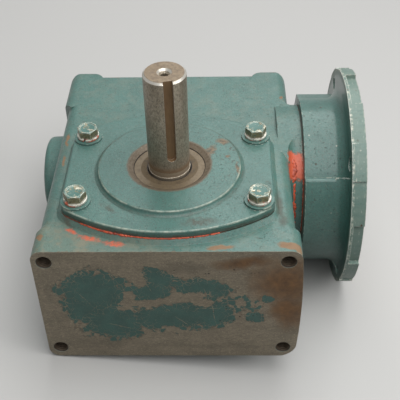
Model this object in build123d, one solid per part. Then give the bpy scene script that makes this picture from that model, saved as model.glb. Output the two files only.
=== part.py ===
from build123d import *
import math
import os

# Right-angle speed reducer: one worm and one bronze worm wheel in a cast-iron housing.
# Millimetres. The output shaft stands up along +Z and the worm lies behind it, along X.
# The origin is on the output axis, in the plane of the cover's round boss, where the
# shaft leaves the housing. +X points at the motor flange and -Y out of the mounting face.

# Gear pair
wheel_teeth = 30
gear_module = 3.6
worm_pitch_radius = 12.675
pressure_angle = 20.0
dedendum_ratio = 1.25
flank_play = 0.45
wheel_face = 19.0
worm_turns = 6
worm_thread_end_trim = 3.0

# Output shaft
shaft_radius = 14.2875
shaft_reach = 74.6
shaft_chamfer = 1.4
shaft_key_width = 6.35
shaft_key_depth = 3.2
shaft_key_end = 12.6
shaft_key_turn = 12.5
centre_drill_radius = 2.5
centre_drill_mouth = 5.0
centre_drill_depth = 11.0
shaft_foot = 0.5
seal_journal_radius = 14.6
journal_drop = 1.0
wheel_seat_step = 3.175
wheel_key_width = 9.525
wheel_key_rise = 3.0
wheel_key_sink = 4.0
shaft_collar_step = 4.95

# Wheel hub and rim
hub_wall = 10.95
shaft_spacer_length = 7.0
web_thickness = 9.0
rim_bore_radius = 43.0
rim_flange_thickness = 6.0
rim_flange_radius = 34.0
rim_screw_count = 6
rim_screw_radius = 2.5
rim_screw_head_radius = 4.5
rim_screw_head_height = 4.0

# Tapered roller bearings of the output shaft
taper_section = 13.69
taper_cup_radius = 29.565
taper_width = 16.0
taper_cup_width = 11.8
cup_race_angle = 14.0
cone_race_angle = 10.0
cup_wall_share = 0.431
cone_race_share = 0.221
cone_rib_share = 0.542
cone_rib_width = 2.8
cone_lip_share = 0.279
cone_lip_width = 1.4
taper_roller_count = 14
taper_roller_length = 10.4
cage_end = 1.2
cage_wall_share = 0.073
cage_rim = 1.2
ball_cage_thickness = 1.0

# Ball bearings of the worm
quill_bearing_bore = 17.5
quill_bearing_outer = 36.0
quill_bearing_width = 17.0
quill_ball_radius = 5.5
quill_ball_count = 9
end_bearing_bore = 10.0
end_bearing_outer = 26.0
end_bearing_width = 15.0
end_ball_radius = 4.8
end_ball_count = 7
race_land_share = 0.45

# Housing casting
housing_height = 105.0
cavity_clearance = 4.5
side_wall = 21.5
front_wall = 10.6
back_space = 53.0
back_wall = 12.3
chamber_side_wall = 19.5
deck_thickness = 11.6
floor_thickness = 10.4
chamber_corner = 15.0
body_corner = 8.0
pad_low_corner = 13.0
pad_side_step = 2.5
pad_bow = 2.3
pad_depth = 22.0
pad_blend = 5.0
foot_width = 28.0
foot_side_step = 4.0
foot_back_step = 6.0
foot_depth = 40.0
foot_corner = 9.0
foot_blend = 9.0
deck_pad_height = 3.0
deck_pad_margin = 0.8
deck_pad_slope = 40.0
opening_clearance = 1.0
end_boss_radius = 33.0
end_boss_reach = 16.5
end_boss_draft = 3.0
end_boss_wall = 8.0
end_boss_round = 4.0
end_relief_radius = 18.0
end_relief_depth = 3.2
motor_boss_step = 5.5
motor_boss_reach = 11.0
motor_boss_blend = 7.0
worm_tunnel_radius = 27.0
floor_boss_wall = 7.4

# Mounting holes, front and back
mount_inset_x = 8.525
mount_inset_z = 9.65
foot_hole_inset = 13.2
mount_hole_radius = 4.7625
mount_hole_depth = 19.0
mount_hole_mouth = 5.4

# Cover on the output side
boss_land = 21.2
boss_height = 3.4
plate_thickness = 5.0
gasket_thickness = 1.0
cover_corner = 10.5
cover_bolt_wall = 6.5
cover_bolt_angle = 30.2
cover_reach_margin = 5.4
cover_hub_wall = 6.5
cover_hub_overhang = 1.0
cover_pilot_depth = 6.0
cover_pilot_wall = 4.0
cover_ribs = 6
cover_rib_width = 5.0
cup_seat_depth = 14.0
bore_chamfer_depth = 2.4
bore_chamfer_width = 4.1
cover_edge_round = 1.2

# Cover bolts
bolt_radius = 3.97
bolt_grip = 11.0
bolt_hole_extra = 0.8
bolt_head_bevel = 0.8
bolt_head_corner_share = 1.3
bolt_hole_play = 0.4
bolt_head_flats = 12.7
bolt_head_height = 5.6
bolt_pad_height = 1.6
bolt_pad_radius = 10.2
washer_radius = 7.5
washer_thickness = 2.2
washer_gap = 1.2
washer_bore_play = 0.35
washer_split_turn = 70.0

# Shaft seals
output_seal_step = 4.865
output_seal_width = 9.5
output_seal_gap = 0.7
seal_recess = 2.6
input_seal_radius = 26.0
input_seal_gap = 1.0
input_seal_width = 8.0
seal_wall = 1.2
seal_lip_play = 0.05
lip_root_share = 0.35
lip_touch_share = 0.5
lip_end_share = 0.8
lip_back_share = 0.3
seal_face_share = 0.2

# Quill, the hollow end of the worm
quill_radius = 16.0
quill_bore_radius = 7.9375
quill_bore_depth = 52.0
quill_key_width = 4.7625
quill_key_depth = 2.4
quill_end_gap = 6.0
worm_neck_radius = 12.5
worm_shoulder_radius = 13.4
worm_shoulder_width = 8.0
worm_run_out = 3.0
quill_shoulder_radius = 21.5
quill_shoulder_width = 6.0
thread_root_sink = 0.4
stub_reach = 0.9

# Motor adapter
adapter_gasket_thickness = 0.8
adapter_length = 41.5
flange_margin = 9.8875
flange_thickness = 10.4
flange_fillet = 9.0
barrel_rise = 9.5
lobe_rise = 5.5
lobe_start = -127.0
lobe_end = 37.0
ridge_angle = 131.0
ridge_rise = 3.6
ridge_half_angle = 25.0
ridge_round = 5.0
lobe_round = 2.5
barrel_wall = 10.0
adapter_web = 10.5
pilot_step = 4.85
pilot_depth = 4.4
motor_bolt_room = 12.6125
motor_hole_radius = 5.16
motor_bolt_angle = 45.0
lug_rise = 1.0
lug_half_angle = 9.3
notch_depth = 3.2
notch_length = 8.0
notch_half_angle = 13.0
spigot_depth = 5.0
spigot_wall = 5.0
adapter_screw_place_share = 0.5625
adapter_screw_share = 0.248
adapter_screw_head_share = 0.375
adapter_screw_head_height = 7.9
adapter_screw_socket_share = 0.397
adapter_screw_socket_rise = 2.2
adapter_screw_grip = 13.0

# Small parts
shim_thickness = 0.5
ring_width = 1.6
ring_rise = 2.6
ring_sink = 0.8
plug_radius = 8.3
plug_socket_flats = 9.5
plug_depth = 10.0
plug_proud = 1.0
vent_flats = 17.5
vent_head_height = 4.0
vent_cap_radius = 6.0
vent_cap_height = 1.4
level_plug_drop = 18.0
drain_plug_rise = 16.0
vent_plug_drop = 34.0
plug_offset = 38.0
cap_thickness = 6.0
cap_rim = 2.0
cap_recess = 1.0
cap_gap = 3.0

# Running clearances
running_play = 0.06
cage_play = 0.3
seat_play = 0.05
overrun = 1.0
vent_thread_root = 0.5

# Levels along Z, from the boss face down
plate_top = -boss_height
plate_bottom = plate_top - plate_thickness
deck_pad_top = plate_bottom - gasket_thickness
housing_top = deck_pad_top - deck_pad_height
housing_bottom = housing_top - housing_height
worm_z = housing_top - housing_height / 2
ceiling = housing_top - deck_thickness
floor = housing_bottom + floor_thickness

# Gear sizes
wheel_pitch_radius = gear_module * wheel_teeth / 2
centre_distance = wheel_pitch_radius + worm_pitch_radius
axial_pitch = math.pi * gear_module
worm_tip_radius = worm_pitch_radius + gear_module
worm_root_radius = worm_pitch_radius - dedendum_ratio * gear_module
wheel_throat_radius = wheel_pitch_radius + gear_module
wheel_outer_radius = wheel_throat_radius + gear_module / 2
wheel_root_radius = wheel_pitch_radius - dedendum_ratio * gear_module
wheel_base_radius = wheel_pitch_radius * math.cos(math.radians(pressure_angle))
lead_slope = axial_pitch / (2 * math.pi * worm_pitch_radius)
thread_half = worm_turns * axial_pitch / 2 - worm_thread_end_trim

# Housing sizes
cavity_radius = wheel_outer_radius + cavity_clearance
opening_radius = wheel_outer_radius + opening_clearance
body_half = cavity_radius + side_wall
pad_half = body_half + pad_side_step
front_y = -(cavity_radius + front_wall)
chamber_back = centre_distance + back_space
body_back = chamber_back + back_wall
foot_back = body_back + foot_back_step
foot_half = body_half + foot_side_step
joint_x = body_half + motor_boss_reach
end_boss_x = -(body_half + end_boss_reach)
end_bearing_x = end_boss_x + end_boss_wall
quill_bearing_x = joint_x - spigot_depth - quill_bearing_width

# Mounting holes, measured from the worm axis
mount_x = pad_half - mount_inset_x
mount_z = housing_height / 2 - mount_inset_z
foot_hole_x = foot_half - foot_hole_inset
mount_mouth_depth = mount_hole_mouth - mount_hole_radius

# Radial sizes between the bore and the cup of the tapered bearings
taper_bore_radius = taper_cup_radius - taper_section
cup_back_thickness = cup_wall_share * taper_section
cone_race_radius = taper_bore_radius + cone_race_share * taper_section
cone_rib_radius = taper_bore_radius + cone_rib_share * taper_section
cone_lip_radius = taper_bore_radius + cone_lip_share * taper_section
cage_thickness = cage_wall_share * taper_section
wheel_seat_radius = taper_bore_radius + wheel_seat_step
shaft_collar_radius = wheel_seat_radius + shaft_collar_step
hub_radius = wheel_seat_radius + hub_wall
floor_boss_radius = taper_cup_radius + floor_boss_wall
output_seal_radius = taper_cup_radius - output_seal_step
output_seal_hole = seal_journal_radius + output_seal_gap
boss_radius = output_seal_radius + bore_chamfer_width + boss_land

# Levels of the output bearings and of the wheel between them
upper_cup_z = -cup_seat_depth - shim_thickness
lower_ledge_z = housing_bottom + cap_recess + cap_thickness + cap_gap
lower_cup_z = lower_ledge_z + shim_thickness
hub_bottom = lower_cup_z + taper_width + shaft_spacer_length
hub_length = 2 * (worm_z - hub_bottom)
hub_top = hub_bottom + hub_length
rim_bottom = worm_z - wheel_face / 2
web_bottom = rim_bottom + rim_flange_thickness
web_top = web_bottom + web_thickness

# Cover sizes
cover_bolt_distance = opening_radius + cover_bolt_wall + bolt_radius
cover_bolt_x = cover_bolt_distance * math.cos(math.radians(cover_bolt_angle))
cover_bolt_y = cover_bolt_distance * math.sin(math.radians(cover_bolt_angle))
cover_half = cover_bolt_x + cover_corner
cover_reach = opening_radius + cover_reach_margin
cover_hub_radius = taper_cup_radius + cover_hub_wall
cover_hub_z = upper_cup_z - taper_cup_width - cover_hub_overhang
bolt_seat_z = plate_top + bolt_pad_height
bolt_tip_z = deck_pad_top - bolt_grip

# Motor adapter, radially
barrel_radius = housing_height / 2 + barrel_rise
motor_boss_radius = barrel_radius - motor_boss_step
lobe_radius = barrel_radius + lobe_rise
ridge_radius = barrel_radius + ridge_rise
pilot_radius = barrel_radius - pilot_step
barrel_inner = barrel_radius - barrel_wall
motor_bolt_distance = barrel_radius + motor_bolt_room
flange_radius = motor_bolt_distance + flange_margin
adapter_screw_room = barrel_inner - quill_bearing_outer
adapter_screw_distance = quill_bearing_outer + adapter_screw_place_share * adapter_screw_room
adapter_screw_radius = adapter_screw_share * adapter_screw_room
adapter_screw_head_radius = adapter_screw_head_share * adapter_screw_room
adapter_screw_socket = adapter_screw_socket_share * adapter_screw_room

# Motor adapter places along X
adapter_x = joint_x + adapter_gasket_thickness
flange_x = adapter_x + adapter_length
flange_back_x = flange_x - flange_thickness
pilot_x = flange_x - pilot_depth
web_x = adapter_x + adapter_web
quill_end_x = flange_x - quill_end_gap


def post(radius, low, high):
    """Cylinder on the local Z axis, from low to high."""
    return Pos(0, 0, low) * Cylinder(radius, high - low, align=(Align.CENTER, Align.CENTER, Align.MIN))


def ring(outer, inner, low, high):
    """Flat ring round the local Z axis."""
    return post(outer, low, high) - post(inner, low - overrun, high + overrun)


def turned(*corners):
    """Solid of revolution about the local Z axis, from (radius, height) corners."""
    outline = Polyline(*corners, close=True)
    return revolve(Plane.XZ * make_face(outline), Axis.Z)


def hexagon(flats, low, high):
    """Hexagonal prism on the local Z axis, one flat facing -Y."""
    return extrude(Pos(0, 0, low) * RegularPolygon(flats / 2, 6, major_radius=False), high - low)


def on_worm_axis(shape):
    """Puts a shape that is built along Z on the worm axis, its Z becoming X."""
    return Pos(0, centre_distance, worm_z) * Rot(0, 90, 0) * shape


def polar(radius, angle):
    """Point at a radius and an angle in degrees."""
    return (radius * math.cos(math.radians(angle)), radius * math.sin(math.radians(angle)))


def seen_angle(angle):
    """Local polar angle on the worm axis of an angle counted from the front, up over the top."""
    return -90 - angle


def sector(radius, first, last):
    """Flat wedge of a circle between two local angles, less than half a turn apart."""
    arc = ThreePointArc(polar(radius, first), polar(radius, (first + last) / 2), polar(radius, last))
    return make_face([Line((0, 0), polar(radius, first)), arc, Line(polar(radius, last), (0, 0))])


def save(name, *shapes):
    """Writes one sub-part, a single solid or a group of separate ones."""
    solids = [solid for shape in shapes for solid in shape.solids()]
    whole = solids[0] if len(solids) == 1 else Compound(children=solids)
    export_step(whole, f"parts/{name}.step")


# Outlines and hole places that several pieces share


def cover_outline(margin=0.0):
    """Straight sides, shallow arcs in front and behind, corners round the bolts."""
    corner = cover_corner + margin
    reach = cover_reach + margin
    rise = reach - cover_bolt_y
    arc_radius = (cover_bolt_x**2 + rise**2 - corner**2) / (2 * (rise - corner))
    shift = arc_radius - reach
    arcs = (Pos(0, shift) * Circle(arc_radius)) & (Pos(0, -shift) * Circle(arc_radius))
    outline = Rectangle(2 * (cover_half + margin), 2 * reach) & arcs
    return fillet(outline.vertices(), corner)


def cover_bolt_places():
    return [Pos(x, y) for x in (-cover_bolt_x, cover_bolt_x) for y in (-cover_bolt_y, cover_bolt_y)]


def mount_hole(x, z, y, inward):
    """Tapped hole with a small countersink, its mouth at y, running inward along Y."""
    hole = turned((0, 0), (mount_hole_mouth, 0), (mount_hole_radius, mount_mouth_depth),
                  (mount_hole_radius, mount_hole_depth), (0, mount_hole_depth + mount_hole_radius))
    return Pos(x, y, z) * Rot(-90 * inward, 0, 0) * hole


def adapter_screw_places():
    return [Rot(0, 0, motor_bolt_angle + 90 * n) * Pos(adapter_screw_distance, 0) for n in range(4)]


# Housing casting


def facing_front(y):
    """Plane seen from the front at one Y, its local axes being X and Z."""
    return Plane(origin=(0, y, 0), x_dir=(1, 0, 0), z_dir=(0, -1, 0))


def front_view(half_width, bow=0.0, low_corner=body_corner):
    """Casting outline seen from the front: the right side can be bowed, its lower corner rounder."""
    top_left, top_right = (-half_width, housing_top), (half_width, housing_top)
    low_left, low_right = (-half_width, housing_bottom), (half_width, housing_bottom)
    right = Line(low_right, top_right)
    if bow:
        right = ThreePointArc(low_right, (half_width + bow, worm_z), top_right)
    outline = make_face([Line(low_left, low_right), right, Line(top_right, top_left),
                         Line(top_left, low_left)])
    rounder = outline.vertices().sort_by_distance(low_right)[0]
    others = [corner for corner in outline.vertices() if corner != rounder]
    return fillet(fillet(others, body_corner).vertices().sort_by_distance(low_right)[0], low_corner)


def mounting_pad():
    """Wider block behind the front face, blended back to the body."""
    pad_back = front_y + pad_depth
    pad = extrude(facing_front(pad_back) * front_view(pad_half, pad_bow, pad_low_corner), pad_depth)
    blend_back = facing_front(pad_back + pad_blend) * front_view(body_half)
    return pad + loft([blend_back, facing_front(pad_back) * front_view(pad_half)])


def foot(side):
    """Mounting foot down one rear corner, side being -1 or 1."""
    inner, outer = side * (foot_half - foot_width), side * foot_half
    start, back = foot_back - foot_depth, foot_back
    flank = side * (body_half - pad_side_step)
    plan = make_face(Polyline((inner, start), (flank, start - foot_blend), (outer, start),
                              (outer, back), (inner, back), close=True))
    corner = [v for v in plan.vertices() if v.Y > start + foot_back_step]
    plan = fillet(corner, foot_corner)
    column = extrude(Pos(0, 0, housing_bottom) * plan, housing_height)
    return column & extrude(facing_front(foot_back) * front_view(foot_half), foot_depth + foot_blend)


def end_boss():
    """Closed boss over the worm's far bearing, drafted and rounded at its end."""
    tip_radius = end_boss_radius - end_boss_reach * math.tan(math.radians(end_boss_draft))
    start = -body_half + side_wall / 2
    boss = turned((0, start), (end_boss_radius, start), (end_boss_radius, -body_half),
                  (tip_radius, end_boss_x), (0, end_boss_x))
    return on_worm_axis(fillet(boss.edges().sort_by(Axis.Z)[0], end_boss_round))


def motor_boss():
    """Round boss that carries the motor adapter, flared into the side of the body."""
    start, radius, flare = body_half - motor_boss_blend, motor_boss_radius, motor_boss_blend
    wide, bend = radius + flare, body_half + flare
    middle = (wide - flare * math.sqrt(0.5), bend - flare * math.sqrt(0.5))
    profile = make_face([Line((0, start), (wide, start)), Line((wide, start), (wide, body_half)),
                         ThreePointArc((wide, body_half), middle, (radius, bend)),
                         Line((radius, bend), (0, bend)), Line((0, bend), (0, start))])
    skirt = on_worm_axis(revolve(Plane.XZ * profile, Axis.Z))
    skirt &= Pos(0, centre_distance, worm_z) * Box(4 * bend, 4 * wide, housing_height)
    return skirt + on_worm_axis(post(radius, start, joint_x))


def deck_pad():
    """Raised machined pad under the cover, its edge sloping down to the deck."""
    spread = deck_pad_height * math.tan(math.radians(deck_pad_slope))
    lower = Pos(0, 0, housing_top) * cover_outline(deck_pad_margin + spread)
    upper = Pos(0, 0, deck_pad_top) * cover_outline(deck_pad_margin)
    return loft([lower, upper])


def housing_hollow():
    """Wheel cavity, worm chamber and the opening under the cover."""
    chamber_half = body_half - chamber_side_wall
    plan = Pos(0, chamber_back / 2) * Rectangle(2 * chamber_half, chamber_back)
    plan = fillet(plan.vertices().sort_by(Axis.Y)[-2:], chamber_corner)
    hollow = post(cavity_radius, floor, ceiling) + extrude(Pos(0, 0, floor) * plan, ceiling - floor)
    return hollow + post(opening_radius, ceiling, deck_pad_top + overrun)


def worm_bores():
    """Seats of the worm's two bearings and the passage between them, along X."""
    inner_face = end_bearing_x + end_bearing_width
    bores = post(worm_tunnel_radius, inner_face, joint_x)
    bores += post(end_bearing_outer, end_bearing_x, inner_face)
    bores += post(end_relief_radius, end_bearing_x - end_relief_depth, end_bearing_x)
    bores += post(quill_bearing_outer, quill_bearing_x, joint_x + overrun)
    return on_worm_axis(bores)


def housing():
    block = extrude(facing_front(body_back) * front_view(body_half), body_back - front_y)
    block += mounting_pad()
    block += foot(-1) + foot(1)
    block += end_boss() + motor_boss() + deck_pad()
    block -= housing_hollow()
    block += post(floor_boss_radius, floor - overrun, lower_cup_z + taper_cup_width)
    block -= worm_bores()
    block -= post(taper_cup_radius, lower_ledge_z, lower_cup_z + taper_cup_width + overrun)
    block -= post(taper_cup_radius - cap_rim, housing_bottom - overrun, lower_ledge_z + overrun)
    for place in cover_bolt_places():
        block -= place * post(bolt_radius, bolt_tip_z - bolt_hole_extra, deck_pad_top + overrun)
    for side in (-1, 1):
        for z in (worm_z - mount_z, worm_z + mount_z):
            block -= mount_hole(side * mount_x, z, front_y, 1)
            block -= mount_hole(side * foot_hole_x, z, foot_back, -1)
    for place in adapter_screw_places():
        hole_end = joint_x - adapter_screw_grip - bolt_hole_extra
        screw_hole = post(adapter_screw_radius, hole_end, joint_x + overrun)
        block -= on_worm_axis(place * screw_hole)
    for x, z in plug_places() + [vent_place()]:
        block -= Pos(x, body_back, z) * Rot(90, 0, 0) * post(plug_radius, -overrun, back_wall + overrun)
    return block


# Plugs in the back wall


def plug_places():
    """Oil level plug and drain plug."""
    return [(plug_offset, worm_z - level_plug_drop), (-plug_offset, housing_bottom + drain_plug_rise)]


def vent_place():
    return (0, housing_top - vent_plug_drop)


def oil_plug(x, z):
    """Threaded plug with a hexagon socket, nearly flush with the wall."""
    plug = post(plug_radius, -plug_proud, plug_depth)
    plug -= hexagon(plug_socket_flats, -overrun - plug_proud, plug_depth / 2)
    return Pos(x, body_back, z) * Rot(90, 0, 0) * plug


def vent_plug():
    """Breather: threaded stub, hexagon and a round cap, pointing out of the back."""
    x, z = vent_place()
    plug = post(plug_radius, -vent_thread_root, plug_depth) + hexagon(vent_flats, -vent_head_height, 0)
    plug += post(vent_cap_radius, -vent_head_height - vent_cap_height, -vent_head_height)
    return Pos(x, body_back, z) * Rot(90, 0, 0) * plug


# Cover


def cover_rib(angle):
    """Rib under the plate from the bearing hub to the pilot ring."""
    length = opening_radius - cover_pilot_wall - taper_cup_radius
    depth = cover_pilot_depth + gasket_thickness
    rib = Box(length, cover_rib_width, depth)
    return Rot(0, 0, angle) * Pos(taper_cup_radius + length / 2, 0, plate_bottom - depth / 2) * rib


def output_cover():
    plate = extrude(Pos(0, 0, plate_bottom) * cover_outline(), plate_thickness)
    plate = fillet(plate.edges().group_by(Axis.Z)[-1], cover_edge_round)
    boss = post(boss_radius, plate_bottom, 0)
    cover = plate + fillet(boss.edges().group_by(Axis.Z)[-1], cover_edge_round)
    for place in cover_bolt_places():
        cover += place * post(bolt_pad_radius, plate_bottom, bolt_seat_z)
    pilot_z = plate_bottom - gasket_thickness - cover_pilot_depth
    cover += ring(opening_radius - seat_play, opening_radius - cover_pilot_wall, pilot_z, plate_bottom)
    cover += post(cover_hub_radius, cover_hub_z, plate_bottom)
    for n in range(cover_ribs):
        cover += cover_rib(n * 360 / cover_ribs)
    cover -= post(output_seal_radius, -cup_seat_depth - overrun, overrun)
    cover -= post(taper_cup_radius, cover_hub_z - overrun, -cup_seat_depth)
    mouth = output_seal_radius + bore_chamfer_width
    cover -= turned((0, -bore_chamfer_depth), (output_seal_radius, -bore_chamfer_depth), (mouth, 0), (0, 0))
    for place in cover_bolt_places():
        cover -= place * post(bolt_radius + bolt_hole_play, plate_bottom - overrun, bolt_seat_z + overrun)
    return cover


def cover_gasket():
    sheet = extrude(Pos(0, 0, deck_pad_top) * cover_outline(), gasket_thickness)
    sheet -= post(opening_radius, deck_pad_top - overrun, plate_bottom + overrun)
    for place in cover_bolt_places():
        sheet -= place * post(bolt_radius + bolt_hole_play, deck_pad_top - overrun, plate_bottom + overrun)
    return sheet


def cover_bolt():
    """Hexagon screw, its head chamfered at the top, standing on its washer."""
    seat = bolt_seat_z + washer_thickness
    top = seat + bolt_head_height
    across = bolt_head_flats / 2
    corner = across * bolt_head_corner_share
    bevel = turned((0, seat), (corner, seat), (corner, top - bolt_head_bevel),
                   (across - bolt_head_bevel, top), (0, top))
    return (hexagon(bolt_head_flats, seat, top) & bevel) + post(bolt_radius, bolt_tip_z, seat)


def lock_washer(angle):
    """Split spring washer."""
    coil = ring(washer_radius, bolt_radius + washer_bore_play, bolt_seat_z, bolt_seat_z + washer_thickness)
    split = Pos(washer_radius / 2, 0, bolt_seat_z + washer_thickness / 2)
    return coil - Rot(0, 0, angle) * split * Box(washer_radius, washer_gap, 2 * washer_thickness)


# Output shaft and what turns with it


def output_shaft():
    top = shaft_reach
    lower_end = lower_cup_z - shaft_foot
    hub_foot = lower_cup_z + taper_width + cage_play
    shaft = turned(
        (0, top), (shaft_radius - shaft_chamfer, top), (shaft_radius, top - shaft_chamfer),
        (shaft_radius, -journal_drop), (seal_journal_radius, -journal_drop),
        (seal_journal_radius, -cup_seat_depth), (taper_bore_radius, -cup_seat_depth - shim_thickness),
        (taper_bore_radius, upper_cup_z - taper_width), (shaft_collar_radius, upper_cup_z - taper_width),
        (shaft_collar_radius, hub_top), (wheel_seat_radius, hub_top), (wheel_seat_radius, hub_foot),
        (taper_bore_radius, hub_foot), (taper_bore_radius, lower_end), (0, lower_end))
    drill_end = top - centre_drill_depth
    shaft -= turned((0, top), (centre_drill_mouth, top), (centre_drill_radius, top - centre_drill_mouth / 2),
                    (centre_drill_radius, drill_end), (0, drill_end - centre_drill_radius))
    slot_length = top + overrun - shaft_key_end - shaft_key_width / 2
    slot = Box(shaft_key_width, 2 * shaft_key_depth, slot_length,
               align=(Align.CENTER, Align.CENTER, Align.MIN))
    slot = Pos(0, -shaft_radius, shaft_key_end + shaft_key_width / 2) * slot
    round_end = Pos(0, -shaft_radius, shaft_key_end + shaft_key_width / 2) * Rot(90, 0, 0) * Cylinder(
        shaft_key_width / 2, 2 * shaft_key_depth)
    shaft -= Rot(0, 0, shaft_key_turn) * (slot + round_end)
    return shaft - wheel_key()


def wheel_key():
    """Key between the shaft and the wheel hub, in the shaft's seat and the hub's slot."""
    height = wheel_key_rise + wheel_key_sink
    centre = wheel_seat_radius + (wheel_key_rise - wheel_key_sink) / 2
    return Pos(0, -centre, worm_z) * Box(wheel_key_width, height, hub_length - wheel_key_width)


def shaft_spacer():
    return ring(shaft_collar_radius, wheel_seat_radius, lower_cup_z + taper_width, hub_bottom)


def wheel_hub():
    hub = post(hub_radius, hub_bottom, hub_top) + post(rim_bore_radius, web_bottom, web_top)
    hub = hub - post(wheel_seat_radius, hub_bottom - overrun, hub_top + overrun)
    slot_reach = wheel_seat_radius + wheel_key_rise
    hub -= Pos(0, -slot_reach / 2, worm_z) * Box(wheel_key_width, slot_reach, 2 * hub_length)
    for n in range(rim_screw_count):
        hub -= rim_screw_place(n) * post(rim_screw_radius, web_bottom - overrun, web_top + overrun)
    return hub


def rim_screw_place(n):
    return Rot(0, 0, (n + 0.5) * 360 / rim_screw_count) * Pos((rim_bore_radius + rim_flange_radius) / 2, 0)


def rim_screw(n):
    """Hexagon screw through the rim's flange into the web of the hub."""
    head = hexagon(2 * rim_screw_head_radius, rim_bottom - rim_screw_head_height, rim_bottom)
    return rim_screw_place(n) * (head + post(rim_screw_radius, rim_bottom, web_top - overrun))


def involute(radius):
    """Involute function of the wheel's flank at a radius, zero inside the base circle."""
    angle = math.acos(wheel_base_radius / max(radius, wheel_base_radius))
    return math.tan(angle) - angle


def gap_point(radius, side):
    """Flank point of one tooth space that is centred on +Y."""
    half = math.pi / (2 * wheel_teeth) + flank_play / radius
    half += involute(radius) - involute(wheel_pitch_radius)
    return (side * radius * math.sin(half), radius * math.cos(half))


def tooth_gap():
    """Cutter for one tooth space, slanted to follow the worm's thread."""
    top = wheel_outer_radius + gear_module
    flanks = [ThreePointArc(gap_point(wheel_root_radius, side), gap_point(wheel_pitch_radius, side),
                            gap_point(top, side)) for side in (-1, 1)]
    outline = make_face([flanks[0], Line(gap_point(top, -1), gap_point(top, 1)), flanks[1],
                         Line(gap_point(wheel_root_radius, 1), gap_point(wheel_root_radius, -1))])
    slant = Vector(-lead_slope, 0, 1) * wheel_face
    cutter = Solid.extrude(outline.face(), slant * 2)
    return Pos(0, 0, worm_z) * cutter.moved(Location(slant * -1))


def wheel_rim():
    """Bronze rim: throated blank with slanted involute tooth spaces."""
    throat = centre_distance - wheel_throat_radius
    lip = math.sqrt(throat**2 - (centre_distance - wheel_outer_radius)**2)
    half = wheel_face / 2
    inner, outer, flange = rim_bore_radius, wheel_outer_radius, rim_flange_radius
    step = rim_flange_thickness - half
    profile = make_face([
        Polyline((inner, half), (outer, half), (outer, lip)),
        ThreePointArc((outer, lip), (wheel_throat_radius, 0), (outer, -lip)),
        Polyline((outer, -lip), (outer, -half), (flange, -half), (flange, step), (inner, step),
                 (inner, half))])
    rim = Pos(0, 0, worm_z) * revolve(Plane.XZ * profile, Axis.Z)
    gap = tooth_gap()
    rim -= [Rot(0, 0, n * 360 / wheel_teeth) * gap for n in range(wheel_teeth)]
    for n in range(rim_screw_count):
        rim -= rim_screw_place(n) * post(rim_screw_radius, rim_bottom - overrun, web_bottom + overrun)
    return rim


# Tapered roller bearings, built with the cup's back face at zero and the rest below it


def taper_radius(base, angle, z):
    """Radius of a race at a depth below the cup's back face."""
    return base - z * math.tan(math.radians(angle))


def cup_race(z):
    return taper_radius(taper_cup_radius - cup_back_thickness, cup_race_angle, z)


def cone_race(z):
    return taper_radius(cone_race_radius, cone_race_angle, z + cone_lip_width)


def bearing_cup():
    back, width = taper_cup_radius, taper_cup_width
    return turned((back, 0), (cup_race(0), 0), (cup_race(-width), -width), (back, -width))


def bearing_cone():
    bore, lip, rib = taper_bore_radius, cone_lip_width, taper_width - cone_rib_width
    return turned((bore, 0), (cone_lip_radius, 0), (cone_lip_radius, -lip), (cone_race(-lip), -lip),
                  (cone_race(-rib), -rib), (cone_rib_radius, -rib), (cone_rib_radius, -taper_width),
                  (bore, -taper_width))


def taper_roller(extra=0.0):
    """One roller, midway between the races, extra being added all round."""
    tilt = (cup_race_angle + cone_race_angle) / 2
    half_taper = (cup_race_angle - cone_race_angle) / 2
    middle_z = -(cone_lip_width + taper_width - cone_rib_width) / 2
    middle = (cup_race(middle_z) + cone_race(middle_z)) / 2
    radius = (cup_race(middle_z) - cone_race(middle_z)) / 2 * math.cos(math.radians(tilt))
    radius += extra - running_play
    swing = taper_roller_length / 2 * math.tan(math.radians(half_taper))
    roller = Cone(radius + swing, radius - swing, taper_roller_length + 2 * extra)
    return Pos(middle, 0, middle_z) * Rot(0, -tilt, 0) * roller


def bearing_cage():
    """Thin slanted band with a window for each roller."""
    tilt = math.tan(math.radians((cup_race_angle + cone_race_angle) / 2))
    high, low = -cage_end, -taper_width + cone_rib_width + cage_end / 2
    middle_z = -(cone_lip_width + taper_width - cone_rib_width) / 2
    middle = (cup_race(middle_z) + cone_race(middle_z)) / 2 + cage_thickness
    inner = [(middle - (z - middle_z) * tilt, z) for z in (high, low)]
    outer = [(radius + cage_thickness, z) for radius, z in reversed(inner)]
    band = turned(*inner, *outer)
    window = taper_roller(cage_play)
    return band - [Rot(0, 0, n * 360 / taper_roller_count) * window for n in range(taper_roller_count)]


def taper_bearing(place):
    """Cup, cone, rollers and cage, moved to their place."""
    spread = [Rot(0, 0, n * 360 / taper_roller_count) for n in range(taper_roller_count)]
    rollers = [place * turn * taper_roller() for turn in spread]
    return place * bearing_cup(), place * bearing_cone(), rollers, place * bearing_cage()


# Ball bearings of the worm, built along Z from zero


def ball_race(bore, outer, width, ball, inside):
    """Inner or outer ring with its groove."""
    pitch = (bore + outer) / 2
    land = ball * race_land_share
    ring_shape = ring(pitch - land, bore, 0, width) if inside else ring(outer, pitch + land, 0, width)
    groove = Torus(pitch, ball + running_play)
    return ring_shape - Pos(0, 0, width / 2) * groove


def ball_set(bore, outer, width, ball, count):
    pitch = (bore + outer) / 2
    return [Rot(0, 0, n * 360 / count) * Pos(pitch, 0, width / 2) * Sphere(ball) for n in range(count)]


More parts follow.
